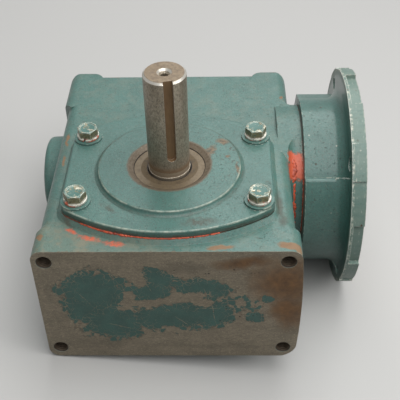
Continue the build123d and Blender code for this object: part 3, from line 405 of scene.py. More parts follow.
def front_face(coat, torn):
    """The machined mounting face: bare iron, rust from the right, and what is left of the enamel."""
    front = coat.between(coat.y, front_y + 0.12, front_y + 0.05)
    feet = coat.between(coat.y, foot_y - 0.12, foot_y - 0.05)
    machined = coat.either(front, feet)
    bare_iron(coat, machined)
    rust_zone = coat.blots(
        [((78.0, -42.0), (30.0, 27.0), -14.0), ((82.0, -68.0), (17.0, 24.0), 0.0),
         ((50.0, -24.0), (24.0, 7.0), 4.0)], "y", coat.ragged(16.0, 16.0), 0.85)
    coat.lay(coat.both(front, rust_zone, 0.95),
             coat.blend(coat.patches(0.34, 0.62, 6.0, 6.0, 0.75, seed=41.0), RUST_RUN, RUST_RUN_DARK),
             rough=0.7, metal=0.0)
    sooty = coat.blots(
        [((8.0, -27.0), (34.0, 6.0), 3.0), ((40.0, -106.0), (40.0, 5.0), 0.0),
         ((-66.0, -36.0), (8.0, 3.0), -30.0), ((-52.0, -103.0), (30.0, 6.0), 3.0),
         ((-80.0, -52.0), (4.0, 10.0), 0.0)], "y", coat.ragged(6.0, 8.0), 0.95)
    coat.lay(coat.both(front, sooty, 0.26), GRIME, rough=0.6)

    # Flakes drop out towards the outline of each patch, and crumbs lie beyond it in two places
    near = coat.nearness(FRONT_ENAMEL, "y", torn)
    crumbs = coat.nearness([((50.0, -62.0), (19.0, 15.0), -10.0), ((6.0, -42.0), (26.0, 10.0), 0.0)],
                           "y", torn)
    near = coat.sum("MINIMUM", near, coat.sum("ADD", crumbs, 0.88))
    gap = coat.scaled(coat.nearness(FRONT_GAPS, "y", torn), -1.0, 2.1)
    near = coat.either(near, gap)
    flake = coat.scaled(coat.flakes(4.6, torn), 0.70, near)
    ragged = coat.scaled(coat.noise(7.0, 6.0, 0.66, seed=44.0), 1.9, flake)
    kept = coat.between(ragged, 2.32, 2.27)
    crack = coat.between(coat.sum("SUBTRACT", coat.cracks(4.6, torn), coat.sum("MULTIPLY", near, 0.045)),
                         -0.02, 0.005)
    scraped = coat.lines(FRONT_SCRATCHES, "y", coat.ragged(2.0, 1.6), 0.75)
    scraped = coat.both(scraped, coat.patches(0.42, 0.52, 3.0, 4.0, 0.7, seed=47.0))
    kept = coat.both(kept, crack, front)
    coat.lay(coat.both(kept, coat.rest(scraped)),
             coat.blend(coat.patches(0.3, 0.7, 9.0, 5.0, 0.65, seed=43.0), FRONT_TEAL_DARK, FRONT_TEAL),
             rough=0.36, metal=0.0, rise=0.09)
    coat.lay(coat.both(front, scraped, 0.32), IRON_SCRATCH, rough=0.45)
    rim_dirt = coat.between(coat.off(ragged, 2.35), 0.08, 0.02)
    coat.lay(coat.both(front, rim_dirt, 0.45), RUST_DARK, rough=0.6)
    pit_zone = coat.blots(
        [((-72.0, -27.0), (13.0, 9.0), -30.0), ((-46.0, -66.0), (6.0, 4.0), 0.0),
         ((30.0, -30.0), (40.0, 6.0), 0.0), ((44.0, -72.0), (20.0, 18.0), 0.0)], "y", torn, 0.9)
    coat.lay(coat.both(front, pit_zone, coat.specks(2.3, 0.22, 9.0)), IRON_PIT, rough=0.8, rise=-0.15)

    # Tapped holes: bare and rusty inside, darkened with painted shade, their mouths bright
    hole = coat.from_axis(coat.sum("ABSOLUTE", coat.x), coat.off(coat.z, worm_z), HOLE_X, HOLE_Z)
    wall_rust_and_shade = coat.blend(coat.noise(2.0, 4.0, 0.7, seed=45.0), HOLE_RUST_AND_SHADE, HOLE_SHADE)
    coat.lay(coat.between(hole, 5.25, 5.15), wall_rust_and_shade, rough=0.6, metal=0.2)
    lip = coat.both(coat.edges(0.8), machined)
    coat.lay(coat.both(lip, 0.7), CAST_IRON, rough=0.36, metal=0.4)


def round_worm(coat):
    """The angle round the worm's axis, in radians: 0 at the top, a quarter turn at the front."""
    forward = coat.sum("SUBTRACT", worm_y, coat.y)
    return coat.sum("ARCTAN2", forward, coat.sum("SUBTRACT", coat.z, worm_z))


def housing_enamel():
    """Worn enamel with a dirty deck, wiped sealant, and the machined faces without paint."""
    coat = enamel("housing_teal_enamel")
    deck = coat.between(coat.z, -19.0, -15.5)
    torn = coat.ragged(5.0, 5.5)

    # Grime that has settled on the deck, most of it in front of the cover's left half
    settled = coat.patches(0.46, 0.62, 9.0, 5.0, 0.7, seed=21.0)
    left_front = coat.both(coat.between(coat.y, -35.0, -64.0), coat.between(coat.x, 20.0, -50.0))
    coat.lay(coat.both(deck, left_front, coat.scaled(settled, 0.55, 0.25)), DECK_DIRT, rough=0.6)
    coat.lay(coat.both(deck, settled, 0.16), DUST, rough=0.5)
    stains = coat.blots(
        [((75.0, -30.0), (3.2, 20.0), 2.0), ((76.5, -46.0), (4.5, 6.0), 0.0),
         ((-66.0, -48.0), (8.0, 2.0), -50.0)], "z", torn, 0.8)
    coat.lay(coat.both(deck, stains, 0.65), GRIME, rough=0.65)

    # Rusted and bare places on the deck
    rusty = coat.blots(
        [((80.0, -69.0), (9.0, 3.6), -8.0), ((86.0, -71.0), (4.0, 4.0), 0.0),
         ((35.0, -71.0), (10.5, 2.6), 4.0), ((-83.0, -60.0), (2.4, 4.0), 20.0),
         ((84.0, 100.0), (1.2, 3.0), 0.0), ((-79.0, 45.0), (1.3, 9.0), 4.0),
         ((-78.5, 20.0), (1.0, 7.0), 0.0), ((-86.0, -30.0), (1.0, 8.0), 0.0)], "z", torn, 0.35)
    coat.lay(coat.both(deck, rusty, 0.9),
             coat.blend(coat.noise(3.0, 4.0, 0.7, seed=22.0), RUST_PALE, RUST), rough=0.7, rise=-0.04)

    # Sealant wiped out from under the cover
    smears = coat.blots(
        [((-34.0, -67.0), (9.0, 2.8), -8.0), ((-50.0, -62.0), (10.0, 2.4), -20.0),
         ((-63.0, -55.0), (6.0, 2.0), -30.0)], "z", coat.ragged(2.6, 4.2, 5.0), 0.6)
    wiped = coat.patches(0.38, 0.56, 2.6, 5.0, 0.75, seed=23.0)
    coat.lay(coat.both(deck, smears, coat.scaled(wiped, 0.7, 0.2)), SEALANT, rough=0.45, rise=0.15)

    # Sealant wiped over the boss beside the motor adapter's joint
    torn_turn = coat.scaled(coat.noise(3.0, 5.0, 0.75, seed=24.0), 0.24, round_worm(coat))
    beside = coat.between(coat.scaled(coat.noise(3.4, 5.0, 0.75, seed=25.0), 9.0, coat.x),
                          spigot_end - 1.6, spigot_end - 0.9)
    smudge = coat.both(coat.between(torn_turn, 0.70, 0.73), coat.between(torn_turn, 1.09, 1.05), beside)
    coat.lay(coat.both(smudge, 0.9), SEALANT, rough=0.4, rise=0.15)

    # Chips and rust along the casting's edges
    chips(coat, 1.1, 0.11, 31.0, where=coat.between(coat.z, -12.6, -13.4))
    rust_edge = coat.both(coat.edges(1.8), coat.patches(0.56, 0.61, 6.0, 5.0, 0.7, seed=32.0))
    coat.lay(coat.both(rust_edge, 0.8), RUST, rough=0.7)
    front_face(coat, torn)
    return coat.done(0.6)


def cover_enamel():
    """Worn enamel, spotted with grime, with pale wear and painted highlight along its front edges, painted
    shade along the back of the boss's edge, in the corner at its foot and low on the plate's sides, and the
    bore's bare mouth.
    """
    coat = enamel("cover_teal_enamel", 0.055)
    radial = coat.from_axis(coat.x, coat.y, 0.0, 0.0)
    worn = coat.noise(3.6, 5.0, 0.7, seed=51.0)
    on_boss = coat.between(coat.z, -0.25, -0.05)
    spotted = coat.patches(0.555, 0.62, 2.4, 5.0, 0.75, seed=52.0)
    back_right = coat.both(coat.between(coat.x, 5.0, 30.0), coat.between(coat.y, -25.0, 15.0))
    coat.lay(coat.both(spotted, on_boss, coat.scaled(back_right, 0.55, 0.30)), GRIME, rough=0.65)
    brown = coat.blots(
        [((28.5, 15.0), (4.2, 8.0), -25.0), ((37.0, 26.0), (6.0, 4.0), -30.0),
         ((47.3, -5.0), (1.4, 8.0), 6.0), ((41.0, 8.0), (2.6, 2.0), 20.0)],
        "z", coat.ragged(3.0, 4.4, 5.0), 0.6)
    brown_tone = coat.blend(coat.between(worn, 0.4, 0.6), RUST_BROWN, GRIME)
    coat.lay(coat.both(brown, 0.85), brown_tone, rough=0.65)
    broken = coat.patches(0.44, 0.58, 5.0, 5.0, 0.7, seed=53.0)
    ring = coat.between(coat.off(radial, BOSS_RADIUS - 1.0), 0.9, 0.2)
    coat.lay(coat.both(ring, broken, 0.25), GRIME, rough=0.65)
    # Darkening in the corner at the boss's foot: dirt and painted shade.
    corner_dirt_and_shade = coat.both(coat.between(radial, 54.0, 50.5), coat.between(coat.z, -2.4, -3.1))
    coat.lay(coat.both(corner_dirt_and_shade, coat.scaled(broken, 0.35, 0.25)), GRIME, rough=0.6)
    front_stain = coat.blots([((22.0, -56.0), (14.0, 5.0), 6.0), ((68.0, -22.0), (3.0, 9.0), 0.0),
                              ((-39.0, -42.0), (9.0, 3.6), -42.0)], "z", coat.ragged(3.4, 5.0, 5.0), 0.8)
    smeared = coat.patches(0.42, 0.56, 4.5, 5.0, 0.75, seed=58.0)
    coat.lay(coat.both(front_stain, coat.scaled(smeared, 0.65, 0.15)), GRIME, rough=0.6)
    boss_edge = coat.both(coat.between(coat.off(radial, BOSS_RADIUS - 0.5), 0.65, 0.25),
                          coat.between(coat.z, -1.1, -0.7))
    arc = coat.from_axis(coat.x, coat.y, 0.0, PLATE_ARC_Y)
    plate_edge = coat.both(coat.between(coat.off(arc, PLATE_EDGE_RADIUS), 0.7, 0.25),
                           coat.both(coat.between(coat.y, -42.0, -43.0), coat.between(coat.z, -4.7, -4.3)))
    broken_line = coat.patches(0.36, 0.60, 5.5, 5.0, 0.72, seed=57.0)
    front_part = coat.between(coat.y, 12.0, -6.0)
    # Pale line along the boss's and the plate's front edges: partly worn paint, partly painted highlight.
    worn_edge_and_highlight = coat.both(coat.either(coat.both(boss_edge, front_part), plate_edge), broken_line)
    coat.lay(coat.both(worn_edge_and_highlight, 0.68), PALE_EDGE_WEAR_AND_HIGHLIGHT, rough=0.34)
    # Darker line along the back half of the boss's edge: painted shade.
    shaded_back_edge = coat.both(boss_edge, coat.rest(front_part), broken_line)
    coat.lay(coat.both(shaded_back_edge, 0.7), BOSS_BACK_EDGE_SHADE, rough=0.6)
    chips(coat, 0.8, 0.10, 55.0, where=coat.between(radial, 56.0, 57.0))
    # Darker low on the plate's sides: dirt and painted shade.
    skirt_dirt_and_shade = coat.between(coat.z, -5.6, -6.8)
    coat.lay(coat.both(skirt_dirt_and_shade, coat.scaled(broken, 0.5, 0.3)), GRIME, rough=0.65)

    # The machined mouth of the bore: brown iron, a thin stain round it, and a dark groove at the seal that
    # is painted shade inside the bore
    halo = coat.both(coat.between(coat.scaled(worn, 2.2, radial), 31.6, 30.4), on_boss)
    coat.lay(coat.both(halo, 0.7), coat.blend(worn, RUST, GRIME), rough=0.65)
    mouth = coat.between(radial, 29.05, 28.85)
    tone = coat.blend(coat.patches(0.36, 0.62, 2.2, 5.0, 0.75, seed=56.0), BORE_MOUTH, BORE_MOUTH_DARK)
    coat.lay(mouth, tone, rough=0.45, metal=0.2)
    coat.lay(coat.both(mouth, coat.noise((400.0, 400.0, 0.35), 2.0)), rise=0.05)
    coat.lay(coat.between(radial, 25.3, 25.0), SEAL_GROOVE_SHADE, rough=0.7)
    return coat.done(0.8)


def adapter_enamel():
    """Glossier enamel, scuffed and knocked along the flange's rim, with the motor's face bare."""
    coat = enamel("adapter_teal_enamel", 0.02)
    coat.rough = 0.28
    radial = coat.from_axis(coat.y, coat.z, worm_y, worm_z)
    rim = coat.both(coat.between(radial, 79.5, 80.5), coat.between(coat.x, 127.0, 128.0))
    dusty = coat.patches(0.34, 0.62, (30.0, 5.0, 5.0), 5.0, 0.7, seed=61.0)
    coat.lay(coat.both(rim, coat.scaled(dusty, 0.45, 0.40)), GREY_GREEN, rough=0.5)
    scuffs = coat.patches(0.60, 0.64, (1.0, 6.0, 6.0), 5.0, 0.75, seed=62.0)
    coat.lay(coat.both(rim, scuffs, 0.7), CHIPPED, rough=0.5)
    knocked = coat.both(coat.between(coat.x, 130.6, 129.4), coat.between(coat.x, 127.6, 128.4),
                        coat.between(radial, 82.6, 83.4))
    torn_rim = coat.patches(0.50, 0.54, 2.6, 5.0, 0.75, seed=67.0)
    coat.lay(coat.both(knocked, torn_rim, 0.9), CHIPPED, rough=0.5, rise=-0.06)
    chips(coat, 1.1, 0.12, 63.0)
    chips(coat, 1.0, 0.28, 68.0, CHIPPED_PALE,
          where=coat.both(coat.between(coat.x, 124.0, 125.0), coat.between(coat.x, 131.0, 130.0)))
    scratches = coat.patches(0.725, 0.74, (8.0, 0.7, 0.7), 4.0, 0.7, seed=64.0)
    coat.lay(coat.both(scratches, 0.75), CHIPPED, rough=0.5)
    coat.lay(coat.specks(2.2, 0.02, 6.0), CHIPPED, rough=0.5)
    coat.lay(coat.specks(3.4, 0.035, 2.0), RUST_DARK, rough=0.7, rise=-0.1)
    # Machined: the motor's face and its register
    machined = coat.either(coat.between(coat.x, motor_face - 0.12, motor_face - 0.05),
                           coat.both(coat.between(radial, 57.4, 57.3), coat.between(coat.x, 133.9, 134.1)))
    turning = coat.noise((1.0, 1.0, 1.0), 1.0, 0.5,
                         at=coat.add("ShaderNodeCombineXYZ", {0: coat.sum("MULTIPLY", radial, 2.4)}))
    tone = coat.blend(coat.noise(12.0, 4.0, 0.6, seed=65.0), STEEL, CAST_IRON)
    coat.lay(machined, coat.blend(coat.both(coat.patches(0.5, 0.7, 6.0, 4.0, 0.7, seed=66.0), 0.5),
                                  tone, RUST), rough=0.42, metal=0.6)
    coat.lay(coat.both(machined, turning), rise=0.03)
    return coat.done(0.8)


# Metals and rubber


def fastener_zinc():
    """Zinc-plated screws gone olive, bright on their edges, with enamel left in the dish of the head; the
    bright top, chamfer and edges are worn plating with painted highlight, and the lower sides enamel with
    painted shade.
    """
    coat = Finish("bolt_zinc_plate", ZINC, 0.38, 0.55)
    tarnish = coat.patches(0.40, 0.60, 2.4, 4.0, 0.65, seed=71.0)
    coat.lay(coat.both(tarnish, 0.7), ZINC_TARNISH, rough=0.46, metal=0.35)
    # The top and chamfer of the head: worn plating, made bright partly as painted highlight.
    top = coat.between(coat.z, 5.1, 5.3)
    worn_top_and_highlight = coat.patches(0.48, 0.60, 2.2, 5.0, 0.7, seed=75.0)
    coat.lay(coat.both(top, worn_top_and_highlight), ZINC_WEAR_AND_HIGHLIGHT, rough=0.34, metal=0.5)
    left = coat.patches(0.44, 0.48, 3.0, 5.0, 0.7, seed=73.0)
    coat.lay(coat.both(top, left), TEAL, rough=0.38, metal=0.0, rise=0.05)
    # Darker lower sides of the head: enamel and painted shade.
    side = coat.both(coat.patches(0.56, 0.59, 2.6, 4.0, 0.65, seed=74.0), coat.between(coat.z, 4.6, 4.2))
    coat.lay(coat.both(side, 0.8), TEAL_DARK, rough=0.5, metal=0.0)
    rust = coat.patches(0.60, 0.65, 1.1, 4.0, 0.7, seed=72.0)
    coat.lay(coat.both(rust, 0.9), RUST_DARK, rough=0.7, metal=0.1)
    coat.lay(coat.noise(0.8, 2.0), rise=0.03)
    # Edges of the head: rubbed plating and painted highlight.
    rubbed_and_glinting = coat.patches(0.34, 0.46, 3.0, 3.0, 0.6, seed=76.0)
    coat.lay(coat.both(coat.edges(0.7), rubbed_and_glinting, 0.95), ZINC_EDGE_WEAR_AND_HIGHLIGHT, rough=0.3, metal=0.35)
    return coat.done(0.25)


def washer_steel():
    """Lock washers: bright steel gone dull in patches, sealant squeezed over some of them."""
    coat = Finish("lock_washer_steel", WASHER_STEEL, 0.34, 0.35)
    dull = coat.patches(0.50, 0.62, 2.0, 4.0, 0.65, seed=81.0)
    coat.lay(coat.both(dull, 0.6), STEEL_DARK, rough=0.5)
    squeezed = coat.between(coat.scaled(coat.z, -0.07, coat.noise(5.0, 4.0, 0.6, seed=82.0)), 0.60, 0.64)
    coat.lay(coat.both(squeezed, 0.9), SEALANT, rough=0.5, metal=0.0, rise=0.1)
    rust = coat.patches(0.60, 0.65, 1.4, 3.0, 0.6, seed=83.0)
    coat.lay(coat.both(rust, 0.8), RUST_DARK, rough=0.7, metal=0.1)
    return coat.done(0.2)


def shaft_steel():
    """The output shaft: dull steel, freckled brown, rust in the keyway and at the seal."""
    coat = Finish("output_shaft_steel", SHAFT_STEEL, 0.38, 0.62)
    freckles = coat.patches(0.45, 0.60, (1.3, 1.3, 2.0), 6.0, 0.75, seed=91.0)
    coat.lay(coat.both(freckles, 0.7), SHAFT_FRECKLE, rough=0.55, metal=0.4)
    patina = coat.patches(0.44, 0.64, (10.0, 10.0, 24.0), 4.0, 0.6, seed=92.0)
    coat.lay(coat.both(patina, 0.45), SHAFT_PATINA, rough=0.5, metal=0.45)
    pale = coat.patches(0.58, 0.66, (0.8, 0.8, 2.4), 5.0, 0.75, seed=93.0)
    coat.lay(coat.both(pale, 0.5), SHAFT_PALE, rough=0.34, metal=0.7)
    turned = coat.noise((60.0, 60.0, 0.28), 2.0, 0.5, seed=94.0)
    coat.lay(turned, rise=0.012)
    coat.lay(coat.noise(0.9, 3.0, 0.6, seed=95.0), rise=0.035)
    radial = coat.from_axis(coat.x, coat.y, 0.0, 0.0)
    end = coat.between(coat.z, SHAFT_TOP - 0.15, SHAFT_TOP - 0.05)
    end_tone = coat.blend(coat.patches(0.38, 0.62, 3.0, 5.0, 0.75, seed=96.0), SHAFT_END, SHAFT_END_DARK)
    coat.lay(coat.both(end, 0.8), end_tone, rough=0.55, metal=0.25)
    rings = coat.noise((1.0, 1.0, 1.0), 1.0, 0.5,
                       at=coat.add("ShaderNodeCombineXYZ", {0: coat.sum("MULTIPLY", radial, 1.8)}))
    coat.lay(coat.both(end, rings), rise=0.02)
    # The top chamfer: bright turned steel and painted highlight.
    chamfer = coat.both(coat.between(coat.z, SHAFT_TOP - 1.5, SHAFT_TOP - 1.3),
                        coat.between(coat.z, SHAFT_TOP - 0.1, SHAFT_TOP - 0.2))
    coat.lay(coat.both(chamfer, 0.65), SHAFT_CHAMFER_AND_HIGHLIGHT, rough=0.24, metal=0.8)
    turn = math.radians(KEYWAY_TURN)
    along = coat.sum("SUBTRACT", coat.sum("MULTIPLY", coat.x, math.sin(turn)),
                     coat.sum("MULTIPLY", coat.y, math.cos(turn)))
    across = coat.sum("ABSOLUTE", coat.sum("ADD", coat.sum("MULTIPLY", coat.x, math.cos(turn)),
                                           coat.sum("MULTIPLY", coat.y, math.sin(turn))))
    slot = coat.both(coat.between(across, 3.32, 3.28), coat.between(along, 10.6, 10.9),
                     coat.both(coat.between(radial, 14.2, 14.1), coat.between(coat.z, 9.0, 9.2)))
    scale = coat.blend(coat.noise((2.0, 2.0, 6.0), 5.0, 0.7, seed=97.0), KEYWAY_SCALE, KEYWAY_SCALE_DARK)
    coat.lay(slot, scale, rough=0.7, metal=0.1)
    foot = coat.between(coat.scaled(coat.noise(4.0, 4.0, 0.65, seed=98.0), 4.0, coat.z), 9.5, 6.5)
    band = coat.both(foot, coat.between(coat.z, 2.6, 3.2))
    coat.lay(coat.both(band, 0.75), SHAFT_FOOT, rough=0.55, metal=0.3)
    low = coat.between(coat.z, 2.9, 2.5)
    coat.lay(coat.both(low, 0.75), SEAL_TRACK, rough=0.32, metal=0.6)
    coat.lay(coat.both(coat.edges(0.35), 0.5), SHAFT_EDGE, rough=0.3, metal=0.8)
    return coat.done(0.25)


def metal_finish(name, colour, stain, rough, metal=0.85, size=3.0, stain_share=0.5, lines=(1.0, 1.0, 1.0),
                 depth=0.015, seed=0.0):
    """A plain metal with its own stains, tool marks and bright edges."""
    coat = Finish(name, colour, rough, metal)
    stained = coat.between(coat.noise(size, 5.0, 0.65, seed=100.0 + seed), 0.66 - 0.25 * stain_share, 0.72)
    coat.lay(coat.both(stained, 0.8), stain, rough=min(rough + 0.2, 0.9), metal=metal * 0.5)
    soft = coat.patches(0.35, 0.65, size * 4, 3.0, 0.5, seed=101.0 + seed)
    coat.lay(coat.both(soft, 0.3), tuple(0.7 * v for v in colour))
    coat.lay(coat.noise(lines, 3.0, 0.6, seed=102.0 + seed), rise=depth)
    bright = tuple(min(1.0, 1.35 * v) for v in colour)
    coat.lay(coat.both(coat.edges(0.3), 0.5), bright, rough=rough * 0.75)
    return coat.done(0.2)


def sealant_red():
    """Set sealant, mottled dark, with dirt on it."""
    coat = Finish("sealant_red", SEALANT, 0.34)
    mottled = coat.patches(0.42, 0.60, 4.0, 5.0, 0.7, seed=111.0)
    coat.lay(coat.both(mottled, 0.85), SEALANT_DARK, rough=0.42)
    dirty = coat.patches(0.60, 0.66, 1.6, 4.0, 0.7, seed=112.0)
    coat.lay(coat.both(dirty, 0.7), GRIME, rough=0.7)
    coat.lay(coat.noise(1.0, 3.0, 0.6, seed=113.0), rise=0.12)
    return coat.done(0.15)


def gasket_red(name, adapter=False):
    """A gasket's edge: red where the sealant came out, dark with dirt elsewhere."""
    coat = Finish(name, GASKET_DARK, 0.5)
    if adapter:
        turn = round_worm(coat)
        red = coat.both(coat.between(turn, 0.62, 0.70), coat.between(turn, 1.80, 1.70))
    else:
        red = coat.both(coat.between(coat.x, 42.0, 20.0), coat.between(coat.y, -30.0, -40.0))
    broken = coat.patches(0.40, 0.52, 3.0, 5.0, 0.7, seed=115.0)
    mixed = coat.blend(coat.noise(5.0, 4.0, 0.7, seed=116.0), SEALANT_DARK, SEALANT)
    coat.lay(coat.both(red, broken), mixed, rough=0.4)
    coat.lay(coat.noise(1.0, 3.0, 0.6, seed=117.0), rise=0.08)
    return coat.done(0.15)


def seal_rubber(name, dusty):
    """Oil-seal rubber under a brown film of dust, black where it dips to the shaft."""
    coat = Finish(name, RUBBER, 0.5)
    radial = coat.from_axis(coat.x, coat.y, 0.0, 0.0)
    film = coat.patches(0.20, 0.5, 5.0, 5.0, 0.65, seed=121.0)
    face = coat.both(film, coat.between(radial, 15.7, 15.9))
    coat.lay(coat.both(face, dusty), RUBBER_DUST, rough=0.7)
    rust = coat.patches(0.56, 0.66, 1.2, 4.0, 0.7, seed=122.0)
    coat.lay(coat.both(rust, dusty * 0.6), RUST_DARK, rough=0.75)
    coat.lay(coat.noise(0.8, 3.0, 0.6, seed=123.0), rise=0.03)
    return coat.done(0.2, Specular_IOR_Level=0.25)


housing_paint = housing_enamel()
cover_paint = cover_enamel()
adapter_paint = adapter_enamel()
bolt_zinc = fastener_zinc()
# Finish for the bolt heads' bevelled edges: rubbed plating and painted highlight.
bolt_edge_highlight = metal_finish("bolt_edge_wear_and_highlight", (0.90, 0.87, 0.72), (0.34, 0.29, 0.17), 0.32, metal=0.3,
                         size=1.6, seed=11.0)
washer_metal = washer_steel()
shaft_metal = shaft_steel()
red_sealant = sealant_red()
plain_steel = metal_finish("turned_steel", (0.50, 0.49, 0.46), STEEL_DARK, 0.32, lines=(0.4, 6.0, 6.0))
bearing_steel = metal_finish("bearing_steel", (0.60, 0.60, 0.59), (0.30, 0.27, 0.22), 0.16, metal=0.95,
                             size=6.0, stain_share=0.1)
cage_steel = metal_finish("pressed_cage_steel", (0.42, 0.40, 0.36), (0.20, 0.17, 0.12), 0.35, metal=0.8,
                          size=4.0)
bronze = metal_finish("wheel_bronze", BRONZE, (0.30, 0.17, 0.07), 0.30, metal=0.9, size=5.0, stain_share=0.3)
hub_iron = metal_finish("hub_cast_iron", (0.23, 0.21, 0.18), (0.12, 0.08, 0.05), 0.55, metal=0.5, size=4.0,
                        depth=0.06)
black_oxide = metal_finish("socket_screw_black_oxide", (0.050, 0.048, 0.046), (0.13, 0.09, 0.06), 0.4,
                           metal=0.6, size=2.0)
plug_zinc = metal_finish("plug_zinc_plate", ZINC, TEAL, 0.36, metal=0.7, size=4.0, stain_share=0.8, seed=3.0)
cap_enamel = metal_finish("cap_teal_enamel", TEAL, TEAL_CHALK, 0.42, metal=0.0, size=6.0, stain_share=0.6,
                          depth=0.05, seed=5.0)
seal_shell = metal_finish("seal_shell_steel", (0.185, 0.140, 0.085), (0.105, 0.078, 0.050), 0.46, metal=0.3,
                          size=2.5, stain_share=0.8, seed=7.0)
# Threads inside the tapped holes: rusty iron, darkened with painted shade.
thread_rust_and_shade = metal_finish("tapped_hole_rust_and_shade", (0.095, 0.070, 0.046), (0.030, 0.020, 0.013), 0.55, metal=0.4,
                           size=2.0, stain_share=0.7, seed=9.0)
output_rubber = seal_rubber("output_seal_rubber", 0.95)
input_rubber = seal_rubber("input_seal_rubber", 0.25)

FINISHES = {
    "housing": housing_paint,
    "output_cover": cover_paint,
    "motor_adapter": adapter_paint,
    "lower_bore_cap": cap_enamel,
    "cover_gasket": gasket_red("cover_gasket_edge"),
    "adapter_gasket": gasket_red("adapter_gasket_edge", adapter=True),
    "oil_plugs": plug_zinc,
    "vent_plug": plug_zinc,
    "wheel_rim_screws": plug_zinc,
    "output_shaft": shaft_metal,
    "worm_wheel_rim": bronze,
    "worm_wheel_hub": hub_iron,
    "adapter_screws": black_oxide,
    "output_seal_case": seal_shell,
    "input_seal_case": plain_steel,
    "output_seal_lip": output_rubber,
    "input_seal_lip": input_rubber,
}
for node_name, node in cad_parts.items():
    if node_name in FINISHES:
        finish = FINISHES[node_name]
    elif "cage" in node_name:
        finish = cage_steel
    elif "bearing_" in node_name and "shim" not in node_name:
        finish = bearing_steel
    else:
        finish = plain_steel
    for material_slot in node.material_slots:
        material_slot.material = finish


# Pieces modelled over the castings


def mm(*values):
    """A place given in millimetres, in Blender's metres."""
    return Vector(values) * MM


def choose_nothing():
    if bpy.context.object and bpy.context.object.mode != "OBJECT":
        bpy.ops.object.mode_set(mode="OBJECT")
    bpy.ops.object.select_all(action="DESELECT")


def new_piece(name):
    piece = bpy.context.object
    piece.name = piece.data.name = name
    return piece


def settle(piece, body, finish):
    """The piece's place goes into its mesh, it gets its finish, and it rides with its body."""
    choose_nothing()
    piece.select_set(True)
    bpy.context.view_layer.objects.active = piece
    bpy.ops.object.transform_apply(location=True, rotation=True, scale=True)
    if len(piece.data.materials) < 2:
        piece.data.materials.clear()
        piece.data.materials.append(finish)
    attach(piece, body)
    return piece


def apply_all(piece):
    bpy.context.view_layer.objects.active = piece
    for modifier in list(piece.modifiers):
        bpy.ops.object.modifier_apply(modifier=modifier.name)


def pick_faces(piece, test):
    """In edit mode: selects the faces that pass the test, by their centre and direction."""
    bpy.ops.mesh.select_all(action="DESELECT")
    bpy.ops.object.mode_set(mode="OBJECT")
    for face in piece.data.polygons:
        face.select = bool(test(face.center, face.normal))
    bpy.ops.object.mode_set(mode="EDIT")
    bpy.ops.mesh.select_mode(type="FACE")


def pick_points(piece, test):
    """In edit mode: selects the points that pass the test, by their place."""
    bpy.ops.mesh.select_mode(type="VERT")
    bpy.ops.mesh.select_all(action="DESELECT")
    bpy.ops.object.mode_set(mode="OBJECT")
    for point in piece.data.vertices:
        point.select = bool(test(point.co))
    bpy.ops.object.mode_set(mode="EDIT")


def bevel(piece, width, sharper_than):
    """A small bevel along all edges sharper than the angle in degrees. It is applied later."""
    edge = piece.modifiers.new("edge", "BEVEL")
    edge.width, edge.segments = width * MM, 2
    edge.limit_method, edge.angle_limit = "ANGLE", math.radians(sharper_than)
    return edge


# The cover's screws: X, Y and turn of the head
BOLT_PLACES = [(-61.25, -35.65, 4.0), (61.25, -35.65, 16.0), (-61.25, 35.65, -9.0), (61.25, 35.65, 7.0)]
HEAD_BOTTOM, HEAD_TOP, HEAD_FLATS = 0.4, 6.0, 13.4
FACE_RADIUS, FACE_HEIGHT = 6.1, 0.32
SHANK_RADIUS, SHANK_END = 3.9, -20.4
BLANK_RADIUS, BLANK_LENGTH = 7.85, 9.0
CHAMFER_WIDTH, CHAMFER_DROP = 1.25, 0.85
DISH_RIM, DISH_SLOPE, DISH_DEPTH = 0.7, 0.5, 0.55


